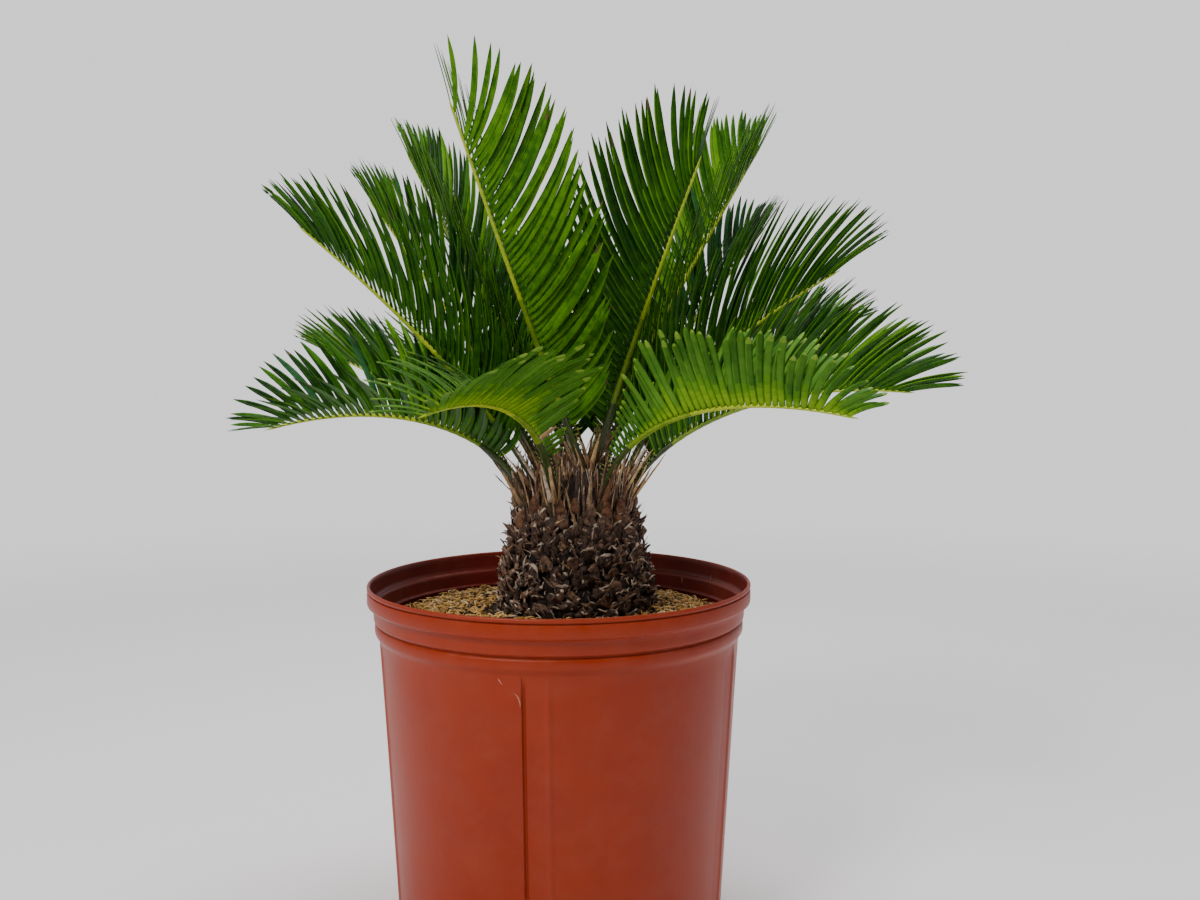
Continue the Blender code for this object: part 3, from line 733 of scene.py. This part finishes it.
def makeTrunkFlakes():
    rng = random.Random(trunk["seed"] + 1)
    batch = newBatch()
    for _ in range(trunk["chips"]):  # crumpled chips that fill the gaps between the plates
        degrees, height = rng.uniform(0, 360), rng.uniform(-2, waistTop - 2)
        root, facing = trunkPoint(degrees, height, rng.uniform(-0.5, 3.5))
        way = risingFrom(degrees, facing, rng.uniform(-0.2, 1.1), rng.gauss(0, 0.9))
        size = (rng.uniform(3.5, 8), rng.uniform(2.4, 5.2), rng.uniform(0.7, 1.5))
        bend = (rng.uniform(-1.2, 1.4), rng.gauss(0, 0.7), rng.uniform(-0.5, 0.5))
        body = rng.choices(("dark", "brown"), (0.65, 0.35))[0]
        slots = (body, rng.choices(("dark", "brown", "pale"), (0.4, 0.4, 0.2))[0])
        addBlade(batch, rng, root, way, facing, size, bend, "blunt", slots, steps=4)
    for _ in range(trunk["curls"]):  # small curled shreds at all angles
        degrees, height = rng.uniform(0, 360), rng.uniform(-2, waistTop + 4)
        root, facing = trunkPoint(degrees, height, rng.uniform(0.5, 5.0))
        way = risingFrom(degrees, facing, rng.uniform(-0.5, 1.0), rng.gauss(0, 1.3))
        size = (rng.uniform(2.5, 8.5), rng.uniform(0.5, 1.5), 0.5)
        bend = (rng.gauss(0, 1.3), rng.gauss(0, 0.8), 0.2)
        body = rng.choices(("dark", "brown", "pale", "straw"), (0.26, 0.30, 0.38, 0.06))[0]
        addBlade(batch, rng, root, way, facing, size, bend, "strip", (body, body), steps=5)
    for _ in range(trunk["spikes"]):  # stiff old fibres that stick out and up below the collar
        degrees, height = rng.uniform(0, 360), rng.uniform(30, waistTop + 6)
        root, facing = trunkPoint(degrees, height, 1)
        way = risingFrom(degrees, facing, rng.uniform(0.2, 0.9), rng.gauss(0, 0.2))
        bend = (rng.uniform(-0.5, 0.2), 0, 0)
        size = (rng.uniform(8, 16), rng.uniform(0.8, 1.5), 0.7)
        body = rng.choice(("dark", "brown"))
        addBlade(batch, rng, root, way, facing, size, bend, "strap", (body, body))
    finishBatch("trunk_flakes", batch, barkFinishes.values())


def addLump(batch, root, way, facing, length, width, body):  # a swollen old leaf base
    way, across, facing = squared(way, facing)
    rings = []
    for share, size in ((0, 0.45), (0.14, 0.82), (0.32, 1.0), (0.55, 0.92), (0.78, 0.62), (1.0, 0.26)):
        middle = root + way * length * share + facing * width * 0.16 * math.sin(math.pi * share)
        ring = []
        for k in range(10):
            angle = 2 * math.pi * k / 10
            bump = 1 + 0.10 * noise.noise((middle + across * math.cos(angle) * width) * 330)
            out = across * math.cos(angle) + facing * math.sin(angle) * 0.62
            ring.append(middle + out * width / 2 * size * bump)
        rings.append(ring)
    addRings(batch, rings, [barkSlots[body]] * (len(rings) - 1))


def addTornRim(batch, rng, root, way, facing, width, body):  # a pale dry edge that curls under a lump
    way, across, facing = squared(way, facing)
    points, normals, widths = [], [], []
    start, turn = rng.uniform(-2.6, -1.9), rng.uniform(1.6, 2.6)
    for i in range(9):
        angle = start + turn * i / 8
        spot = root + way * width * (0.50 + 0.52 * math.sin(angle)) + across * width * 0.56 * math.cos(angle)
        points.append(spot + facing * width * (0.26 + 0.08 * math.sin(2 * angle)))
        normals.append(facing)
        widths.append(rng.uniform(0.7, 1.3) * mm * (0.5 + math.sin(math.pi * (i + 1) / 10)))
    addStrip(batch, points, normals, widths, 0.6 * mm, [barkSlots[body]] * 8)


def makeCollar():
    rng = random.Random(trunk["seed"] + 2)
    batch = newBatch()
    count = trunk["feltBases"]
    for i in range(count):  # two rings of swollen red-brown leaf bases
        degrees = 360 * i / count + rng.uniform(-4, 4)
        height = waistTop + (-7, 3)[i % 2] + rng.uniform(-2.5, 2.5)
        root, facing = trunkPoint(degrees, height, rng.uniform(-0.6, 0.8))
        way = risingFrom(degrees, facing, rng.uniform(-0.05, 0.15), rng.gauss(0, 0.12))
        width = rng.uniform(7.0, 10.5) * mm
        body = rng.choices(("felt", "brown", "dark"), (0.55, 0.30, 0.15))[0]
        addLump(batch, root, way, facing, width * rng.uniform(1.3, 1.8), width, body)
        if rng.random() < 0.7:
            addTornRim(batch, rng, root, way, facing, width, rng.choice(("pale", "straw", "brown")))
    for i in range(trunk["stubs"]):  # dark broken stalks that stick out under the lumps
        degrees = 360 * i / trunk["stubs"] + rng.uniform(-7, 7)
        root, facing = trunkPoint(degrees, waistTop - rng.uniform(6, 19), -1)
        way = risingFrom(degrees, facing, rng.uniform(0.25, 0.95), rng.gauss(0, 0.15))
        size = (rng.uniform(10, 17), rng.uniform(4, 7), rng.uniform(2.4, 4.0))
        bend = (rng.uniform(-1.1, 0.3), rng.gauss(0, 0.3), -0.2)
        edge = rng.choice(("dark", "brown", "pale"))
        addBlade(batch, rng, root, way, facing, size, bend, "pointed", ("dark", edge))
    for kind, number in trunk["straps"].items():  # dry straps that stand up round the stalks
        low, high, shortest, longest, out = strapKinds[kind]
        for i in range(number):
            degrees = rng.uniform(0, 360)
            root, facing = trunkPoint(degrees, waistTop + rng.uniform(low, high), rng.uniform(-3.0, 1.0))
            around = skyward.cross(polar(1, degrees))
            way = skyward + polar(rng.uniform(-0.12, out), degrees) + around * rng.gauss(0, 0.16)
            size = (rng.uniform(shortest, longest), rng.uniform(1.5, 3.8), rng.uniform(0.6, 1.1))
            bend = (rng.uniform(-0.45, 0.35), rng.gauss(0, 0.8), rng.uniform(-0.6, 0.4))
            body = rng.choices(*strapMix)[0]
            edge = rng.choices((body, "pale", "straw"), (0.5, 0.3, 0.2))[0]
            addBlade(batch, rng, root, way, facing, size, bend, "strap", (body, edge), steps=8)
    finishBatch("trunk_collar", batch, barkFinishes.values())


makeTrunkCore()
makeTrunkPlates()
makeTrunkFlakes()
makeCollar()

# Fronds, grown by the same rule as the solids: angles in degrees, lengths in mm
frondRule = {
    "petiole": 30.0,
    "footSize": (7.6, 5.8),
    "stalkSize": (4.8, 4.2),
    "tipSize": (1.9, 1.5),
    "pairPitch": 4.1,
    "closing": (0.82, 0.58),
    "turnRoot": 9.0,
    "turnTip": -12.0,
    "shortFoot": 0.07,
    "shortTip": 0.055,
    "rollShare": 0.25,
    "leafletWidth": 4.7,
    "leafletThick": 0.42,
    "deadLeaflet": ("low_front_left", 4, -1),  # the frond, the pair and the side
    "deadShort": 0.62,
    "lostLeaflets": ("tall_left", 0.925, 0.98),
    "tipSlim": {"from": 0.85, "over": 0.15, "to": 0.72},
    "youngFoot": {"grownAt": 0.42, "short": 0.36, "narrow": 0.55, "steep": 22.0, "deepBelow": 0.4},
    "scatter": {"sweep": 1.8, "keel": 2.4, "roll": 3, "width": (0.92, 1.05)},
    "shingle": 17.0,
    "curveSteps": 96,
    "sunk": (3.5, 8.0, 14.0),
    "seatOut": 2.0,
    "spines": {"count": 7, "below": 22, "step": 3.6, "shortest": 2.0, "growth": 0.9},
    "rings": {"heart": 12.5, "upper": 20.5, "middle": 30.5, "outer": 36.5},
    "seed": 12,
}
Frond = namedtuple("Frond", "name lean rise droop drift length leaflet wide narrow keel roll bend foot "
                            "ring slim tone")
fronds = (
    Frond("tall_left", 225, 62, 0, 5, 240, 90, 57, 42, 40, -16, 1.0, 290, "heart", 1.0, "bright"),
    Frond("tall_right", 328, 69.5, 2, 4, 204, 98, 60, 33, 42, -4, 1.0, 325, "heart", 1.0, "deep"),
    Frond("tall_back_right", 30, 60, 12, 16, 284, 82, 56, 34, 54, 0, 1.0, 40, "heart", 0.9, "bright"),
    Frond("tall_back_left", 147, 61, 6, -8, 256, 78, 54, 20, 54, 0, 1.0, 150, "heart", 0.76, "mid"),
    Frond("upper_left_back", 166, 63, 12, -8, 217, 76, 54, 20, 54, 0, 0.6, 180, "upper", 0.7, "deep"),
    Frond("upper_left", 195, 61.5, 22.5, 4, 214, 80, 54, 18, 54, 0, 0.6, 215, "middle", 0.66, "deep"),
    Frond("upper_right", 352, 75.5, 46, -8, 194, 97, 56, 20, 52, 0, 0.5, 355, "middle", 0.7, "deep"),
    Frond("upper_right_back", 36, 47, 4, 3, 245, 76, 56, 24, 52, 0, 1.0, 66, "upper", 0.76, "blue"),
    Frond("upper_back", 84, 64, 34, 10, 235, 80, 58, 26, 48, 0, 0.8, 105, "upper", 0.9, "mid"),
    Frond("upper_back_left", 118, 62, 34, -6, 230, 80, 58, 26, 48, 0, 0.8, 140, "upper", 0.9, "deep"),
    Frond("mid_left", 158, 67, 46, 5, 172, 73, 60, 20, 52, 0, 0.35, 165, "outer", 0.95, "mid"),
    Frond("mid_right", 25, 60, 46, 3, 228, 76, 58, 24, 54, 0, 0.6, 22, "outer", 0.74, "deep"),
    Frond("low_left", 192, 97.5, 113, 0, 178, 64, 84, 54, 46, -18, 0.4, 202, "outer", 1.0, "deep"),
    Frond("low_front_left", 251, 98, 112, -18, 165, 66, 96, 80, 34, 0, 0.5, 246, "outer", 1.03, "fresh"),
    Frond("low_front_right", 300, 93, 104.5, 34, 197, 54, 94, 76, 62, 0, 0.4, 297, "outer", 0.93, "fresh"),
    Frond("low_right", 4, 86, 91, -18, 202, 84, 70, 36, 58, 0, 0.4, 336, "outer", 0.97, "mid"),
    Frond("low_back_right", 62, 94, 100, 8, 200, 78, 66, 34, 50, 0, 0.45, 60, "outer", 0.9, "mid"),
    Frond("low_back", 97, 96, 106, -6, 205, 78, 66, 34, 50, 0, 0.45, 95, "outer", 0.9, "deep"),
    Frond("low_back_left", 129, 92, 98, 6, 200, 78, 66, 34, 50, 0, 0.45, 128, "outer", 0.9, "mid"),
)
tones = {  # how the leaflets of a frond are mixed; deep, mid and bright are one green at three lightnesses, partly the leaves' own tone and partly painted shade and painted light, set per frond
    "deep": {"deep": 0.56, "mid": 0.35, "bright": 0.04, "blue": 0.05},
    "mid": {"deep": 0.30, "mid": 0.47, "bright": 0.18, "blue": 0.05},
    "bright": {"deep": 0.18, "mid": 0.44, "bright": 0.36, "blue": 0.02},
    # painted reflection: the blue share is bluish-green leaflets that stand in for a bluish sheen
    "blue": {"deep": 0.25, "mid": 0.20, "bright": 0.05, "blue": 0.50},
    "fresh": {"young": 0.40, "youngDeep": 0.60},
}
# painted highlight: the lighter tone that one edge of each leaflet takes
paintedHighlightEdge = {"deep": "mid", "mid": "bright", "blue": "mid", "youngDeep": "young"}
gloss = {"rough": (0.30, 0.44), "scale": 45, "grain": 1500, "bump": 0.12, "depth": 0.0002, "contrast": 0.6,
         "specular": 0.15}
matt = {**gloss, "rough": (0.5, 0.65)}
dull = {**gloss, "rough": (0.45, 0.6), "scale": 38, "contrast": 0.9}
dried = {"rough": (0.5, 0.8), "scale": 60, "grain": 1500, "depth": 0.0003}
leafFinishes = {
    # deep, mid and bright: one green at three lightnesses, partly its own tone and partly painted shade and
    # painted light
    "deep": naturalFinish("deepLeaf", (0.0020, 0.017, 0.0001), (0.013, 0.082, 0.0002), **gloss),
    "mid": naturalFinish("midLeaf", (0.016, 0.085, 0.0001), (0.048, 0.190, 0.0002), **gloss),
    "bright": naturalFinish("brightLeaf", (0.070, 0.220, 0.0001), (0.145, 0.36, 0.0002), **gloss),
    # painted reflection: a bluish sheen put into the leaflet colour
    "blue": naturalFinish("paintedSheenBlueGreenLeaf", (0.009, 0.072, 0.019), (0.034, 0.155, 0.044), **gloss),
    "fresh": naturalFinish("freshLeafBase", (0.125, 0.285, 0.0005), (0.225, 0.40, 0.002), **gloss),
    "under": naturalFinish("leafUnderside", (0.010, 0.062, 0.0002), (0.036, 0.140, 0.0003), **dull),
    "tip": naturalFinish("driedLeafTip", (0.050, 0.035, 0.006), (0.15, 0.095, 0.020), **dried),
    "dead": naturalFinish("deadLeaflet", (0.30, 0.17, 0.06), (0.55, 0.36, 0.16), **dried),
    "freshMid": naturalFinish("freshLeafMiddle", (0.095, 0.245, 0.0005), (0.170, 0.345, 0.001), **gloss),
    "young": naturalFinish("youngLeaf", (0.050, 0.170, 0.008), (0.105, 0.265, 0.018), **matt),
    "youngDeep": naturalFinish("youngLeafDeep", (0.026, 0.112, 0.003), (0.068, 0.195, 0.010), **matt),
    "youngTip": naturalFinish("youngLeafTip", (0.120, 0.260, 0.018), (0.22, 0.38, 0.04), **matt),
    "freshEnd": naturalFinish("freshLeafEnd", (0.060, 0.190, 0.001), (0.115, 0.28, 0.003), **gloss),
    # partly painted light: a lighter underside for the bright fronds
    "underBright": naturalFinish("brightLeafUnderside", (0.024, 0.115, 0.0002), (0.092, 0.265, 0.0003), **dull),
}
leafSlots = {kind: slot for slot, kind in enumerate(leafFinishes)}


def frameAt(frond, share):
    elevation = math.radians(frond.rise - frond.droop * share ** frond.bend)
    azimuth = math.radians(frond.lean + frond.drift * share)
    level = Vector((math.cos(azimuth), math.sin(azimuth), 0))
    along = level * math.cos(elevation) + Vector((0, 0, math.sin(elevation)))
    above = Vector((0, 0, math.cos(elevation))) - level * math.sin(elevation)
    turn = Matrix.Rotation(math.radians(frond.roll) * min(1, share / frondRule["rollShare"]), 3, along)
    above = turn @ above
    return along, along.cross(above), above


def footOf(frond):
    radius = frondRule["rings"][frond.ring]
    rise = math.sqrt(max(0, 1 - (radius / trunk["domeRadius"]) ** 2))
    outward = polar(radius / trunk["domeRadius"], frond.foot) + Vector((0, 0, rise))
    spot = polar(radius * mm, frond.foot, (domeZ + trunk["domeHeight"] * rise) * mm) + trunkAxis
    return spot + outward * frondRule["seatOut"] * mm


def centreLine(frond):
    steps = frondRule["curveSteps"]
    points = [footOf(frond)]
    for i in range(steps):
        along = frameAt(frond, (i + 0.5) / steps)[0]
        points.append(points[-1] + along * frond.length * mm / steps)
    return points


def pointAt(points, share):
    place = min(max(share, 0), 1) * (len(points) - 1)
    low = min(int(place), len(points) - 2)
    return points[low].lerp(points[low + 1], place - low)


def ribSize(frond, share):
    neck = frondRule["petiole"] / frond.length
    foot, stalk, tip = frondRule["footSize"], frondRule["stalkSize"], frondRule["tipSize"]
    if share < neck:
        part = (max(share, 0) / neck) ** 0.6
        return [mix(a, b, part) * mm for a, b in zip(foot, stalk)]
    return [mix(a, b, (share - neck) / (1 - neck)) * mm for a, b in zip(stalk, tip)]


def leafletLength(frond, place):
    rule = frondRule
    crown = math.sin(math.pi * (rule["shortFoot"] + (1 - rule["shortFoot"] - rule["shortTip"]) * place))
    return frond.leaflet * mm * math.sqrt(crown)


leafletKinds = {  # each profile gives the width along the leaflet
    "grown": {
        "lengths": (0.94, 1.04),
        "droops": (3, 12),
        "freshUntil": (0.02, 0.07),
        "tipFrom": (0.91, 1.5),  # past 1 the tip stays green
        "stations": (0, 0.05, 0.13, 0.25, 0.38, 0.52, 0.66, 0.79, 0.9, 0.96, 1.0),
        "profile": ((0, 0.42), (0.06, 0.62), (0.16, 0.9), (0.34, 1.0), (0.62, 0.98), (0.8, 0.8),
                    (0.92, 0.44), (1, 0.05)),
    },
    "young": {
        "lengths": (0.84, 1.05),
        "droops": (16, 30),
        "freshUntil": (0.07, 0.17),
        "tipFrom": (0.88, 1.0),
        "stations": (0, 0.05, 0.10, 0.16, 0.22, 0.28, 0.34, 0.41, 0.49, 0.58, 0.68, 0.79, 0.9, 0.96, 1.0),
        "profile": ((0, 0.66), (0.06, 0.84), (0.16, 0.96), (0.34, 0.98), (0.66, 1.0), (0.9, 0.95),
                    (0.96, 0.72), (1, 0.2)),
    },
}
# across the leaflet: place from edge to edge and height in half-widths, along the top and then back below
leafletSection = ((-1, -0.26), (-0.52, 0.0), (0, -0.10), (0.52, 0.0), (1, -0.26), (0.5, -0.16), (0, -0.34),
                  (-0.5, -0.16))


def sweepAt(frond, place):  # a leaflet's angle to its rib, which closes towards the frond's tip
    start, share = frondRule["closing"]
    closed = 1 - share * smooth((place - start) / (1 - start))
    return mix(frond.wide, frond.narrow, place) * closed


def growLeaflet(batch, frond, points, place, hand, rng, dead):
    rule, scatter, foot, slim = frondRule, frondRule["scatter"], frondRule["youngFoot"], frondRule["tipSlim"]
    young = frond.tone == "fresh"
    grownKind = leafletKinds["grown"]
    kind = leafletKinds["young"] if young else grownKind
    grown = smooth(place / foot["grownAt"]) if young else 1.0  # young leaflets are small and steep at the foot
    length = leafletLength(frond, place) * rng.uniform(*kind["lengths"]) * mix(foot["short"], 1, grown)
    share = (rule["petiole"] + (frond.length - rule["petiole"]) * place) / frond.length
    along, side, above = frameAt(frond, share)
    width, height = ribSize(frond, share)
    outward = side * hand
    spot = pointAt(points, share) + outward * width * 0.36 + above * height * 0.2
    sweep = sweepAt(frond, place) + rng.gauss(0, scatter["sweep"])
    keel = frond.keel + rng.gauss(0, scatter["keel"])
    droop = rng.uniform(*kind["droops"])
    keel += foot["steep"] * (1 - grown)
    roll = math.radians(rule["shingle"] + rng.gauss(0, scatter["roll"]))
    size = rule["leafletWidth"] * mm * frond.slim * rng.uniform(*scatter["width"])
    size *= mix(1, slim["to"], smooth((place - slim["from"]) / slim["over"]))
    size *= mix(foot["narrow"], 1, grown)
    weights = tones[frond.tone]
    picked = "dead" if dead else rng.choices(list(weights), list(weights.values()))[0]
    if grown < foot["deepBelow"] and not dead:
        picked = "youngDeep"
    freshUntil, tipFrom = rng.uniform(*grownKind["freshUntil"]), rng.uniform(*grownKind["tipFrom"])
    if young:
        freshUntil = rng.uniform(*kind["freshUntil"]) * smooth(place * 2.5)
        tipFrom = rng.uniform(*kind["tipFrom"])
    profile = kind["profile"]
    if dead:
        length *= rule["deadShort"]
        freshUntil, tipFrom, profile = 0.0, 2.0, grownKind["profile"]
    body, fresh = leafSlots[picked], leafSlots["fresh"]
    # the bright fronds take the lighter underside, partly painted light
    under = body if young or dead else leafSlots["underBright" if frond.tone == "bright" else "under"]
    paintedHighlightSlot = leafSlots[paintedHighlightEdge.get(picked, picked)]  # painted highlight: one edge of each leaflet takes a lighter tone, as if it caught more light
    rings, slots = [], []
    last = 0.0
    for share in kind["stations"]:
        tilt = math.radians(keel + 4 - droop * share * (share if young else 1))
        angle = math.radians(sweep + mix(rule["turnRoot"], rule["turnTip"], share))
        out = outward * math.cos(tilt) + above * math.sin(tilt)
        way = out * math.sin(angle) + along * math.cos(angle)
        face = above * math.cos(tilt) - outward * math.sin(tilt)
        across = (along - way * along.dot(way)).normalized()
        rolling = roll * (1 - 0.5 * share)
        tiltedAcross = across * math.cos(rolling) + face * math.sin(rolling)
        tiltedFace = face * math.cos(rolling) - across * math.sin(rolling)
        spot = spot + way * length * (share - last)
        half = size / 2 * follow(profile, share)
        thick = rule["leafletThick"] * mm * (1 - 0.5 * share)
        ring = []
        for k, (u, v) in enumerate(leafletSection):
            lower = thick if k >= 5 else 0.0
            ring.append(spot + tiltedAcross * half * u + tiltedFace * (half * v * 0.8 - lower * 0.6))
        rings.append(ring)
        if share > 0:
            middle = (share + last) / 2
            if middle < freshUntil:
                slots.append([fresh] * 4 + [fresh if young else under] * 4)
            elif young and middle < freshUntil * 1.7:
                slots.append(leafSlots["freshMid"])
            elif young and middle < freshUntil * 2.5:
                slots.append(leafSlots["freshEnd"])
            elif middle > tipFrom:
                slots.append(leafSlots["youngTip" if young else "tip"])
            else:
                slots.append([paintedHighlightSlot] + [body] * 3 + [under] * 3 + [paintedHighlightSlot])
        last = share
    addRings(batch, rings, slots)


def growRib(batch, frond, points, rng):
    rule = frondRule
    along, side, above = frameAt(frond, 0)
    footWidth, footHeight = ribSize(frond, 0)
    inward = trunkAxis - Vector((points[0].x, points[0].y, 0))
    inward = inward.normalized() if inward.length > 8 * mm else Vector()
    count = int(frond.length / 3.4)
    stations = [i / count for i in range(count + 1)]
    rings, slots = [], []

    def addRing(spot, side, above, width, height):
        ring = []
        for k in range(10):
            angle = 2 * math.pi * (k + 0.5) / 10
            u, v = math.cos(angle), math.sin(angle)
            flat = 0.78 if v > 0.6 else 1.0  # the upper side is flatter
            ring.append(spot + side * width / 2 * u + above * height / 2 * v * flat)
        rings.append(ring)

    for depth in reversed(rule["sunk"]):  # the foot widens and turns in under the old leaf bases
        share = depth / rule["sunk"][-1]
        spot = points[0] - along * depth * mm + inward * (0.5 * share * depth) * mm
        addRing(spot, side, above, footWidth * (1 + 0.55 * share), footHeight * (1 + 0.2 * share))
        slots.append(0)
    for number, share in enumerate(stations):
        along, side, above = frameAt(frond, share)
        width, height = ribSize(frond, share)
        knob = 1 + (0.05 if number % 2 else -0.03) * (share > 0.15)
        addRing(pointAt(points, share), side, above, width * knob, height * knob)
        reach = share * frond.length
        slots.append(0 if reach < 8 else 1 if reach < rule["petiole"] + 14 else 2 if share < 0.5 else 3)
    end = pointAt(points, 1) + frameAt(frond, 1)[0] * 5 * mm
    rings.append([end + (p - pointAt(points, 1)) * 0.2 for p in rings[-1]])
    addRings(batch, rings, slots)
    spines = rule["spines"]
    for i in range(spines["count"]):  # short spines where the lowest leaflets would be
        share = (rule["petiole"] - spines["below"] + i * spines["step"]) / frond.length
        along, side, above = frameAt(frond, share)
        width, height = ribSize(frond, share)
        for hand in (1, -1):
            root = pointAt(points, share) + side * hand * width * 0.42 + above * height * 0.2
            length = (spines["shortest"] + i * spines["growth"]) * mm * rng.uniform(0.7, 1.3)
            way = (side * hand + above * 0.5 + along * rng.uniform(0.2, 0.6)).normalized()
            strip = [root + way * length * s for s in (0, 0.5, 1)]
            addStrip(batch, strip, [above] * 3, [1.2 * mm, 0.8 * mm, 0.12 * mm], 0.8 * mm, [1, 2])


def makeStalkStraps():  # old dry straps that lean on the foot of each stalk
    rng = random.Random(trunk["seed"] + 3)
    batch = newBatch()
    for frond in fronds:
        along, side, above = frameAt(frond, 0.04)
        for i in range(trunk["stalkStraps"]):
            around = 2 * math.pi * (i + rng.uniform(-0.3, 0.3)) / trunk["stalkStraps"]
            out = side * math.cos(around) + above * math.sin(around)
            root = footOf(frond) + out * rng.uniform(3.5, 5.5) * mm - along * rng.uniform(1, 7) * mm
            way = along + out * rng.uniform(-0.02, 0.22) + side * rng.gauss(0, 0.08)
            size = (rng.uniform(18, 40), rng.uniform(2.0, 4.2), rng.uniform(0.6, 1.0))
            bend = (rng.uniform(-0.5, 0.15), rng.gauss(0, 0.5), rng.uniform(-0.6, 0.1))
            body = rng.choices(("brown", "felt", "straw", "pale"), (0.30, 0.20, 0.38, 0.12))[0]
            edge = rng.choice((body, "brown", "straw"))
            addBlade(batch, rng, root, way, out, size, bend, "strap", (body, edge), steps=8)
    finishBatch("stalk_straps", batch, barkFinishes.values())


def nodesOf(frond):  # each low frond is two nodes, which meet at its bend
    name = "frond_" + frond.name
    return [name + "_foot", name + "_blade"] if frond.name.startswith("low") else [name]


def ribFinishes():
    shared = {"grain": 1300, "bump": 0.25, "depth": 0.0003, "contrast": 0.7}
    sheen = {**shared, "rough": (0.35, 0.5), "scale": 90}
    return [
        naturalFinish("brownPetioleFoot", (0.035, 0.022, 0.008), (0.11, 0.075, 0.022), rough=(0.6, 0.9),
                      scale=160, **shared),
        naturalFinish("olivePetiole", (0.022, 0.042, 0.003), (0.060, 0.095, 0.008), rough=(0.35, 0.55),
                      scale=120, **shared),
        naturalFinish("greenRib", (0.130, 0.240, 0.002), (0.250, 0.370, 0.006), **sheen),
        naturalFinish("yellowRib", (0.33, 0.45, 0.003), (0.50, 0.60, 0.012), **sheen),
    ]


def makeFronds():
    rule = frondRule
    lostFrond, lostFrom, lostTo = rule["lostLeaflets"]
    ribs = newBatch()
    for crown, members in {"tall": fronds[:5], "upper": fronds[5:12], "low": fronds[12:]}.items():
        batch = newBatch()
        for frond in members:
            rng = random.Random(rule["seed"] + fronds.index(frond))
            points = centreLine(frond)
            growRib(ribs, frond, points, rng)
            count = round((frond.length - rule["petiole"]) / rule["pairPitch"])
            for i in range(count):
                for hand in (1, -1):
                    place = (i + 0.5 + 0.25 * hand) / count
                    if frond.name == lostFrond and lostFrom < place < lostTo:
                        continue
                    dead = (frond.name, i, hand) == rule["deadLeaflet"]
                    growLeaflet(batch, frond, points, min(place, 0.995), hand, rng, dead)
        nodes = [node for frond in members for node in nodesOf(frond)]
        finishBatch("leaflets_" + crown, batch, leafFinishes.values(), nodes)
    finishBatch("frond_ribs", ribs, ribFinishes())


makeStalkStraps()
makeFronds()

print("scene made")
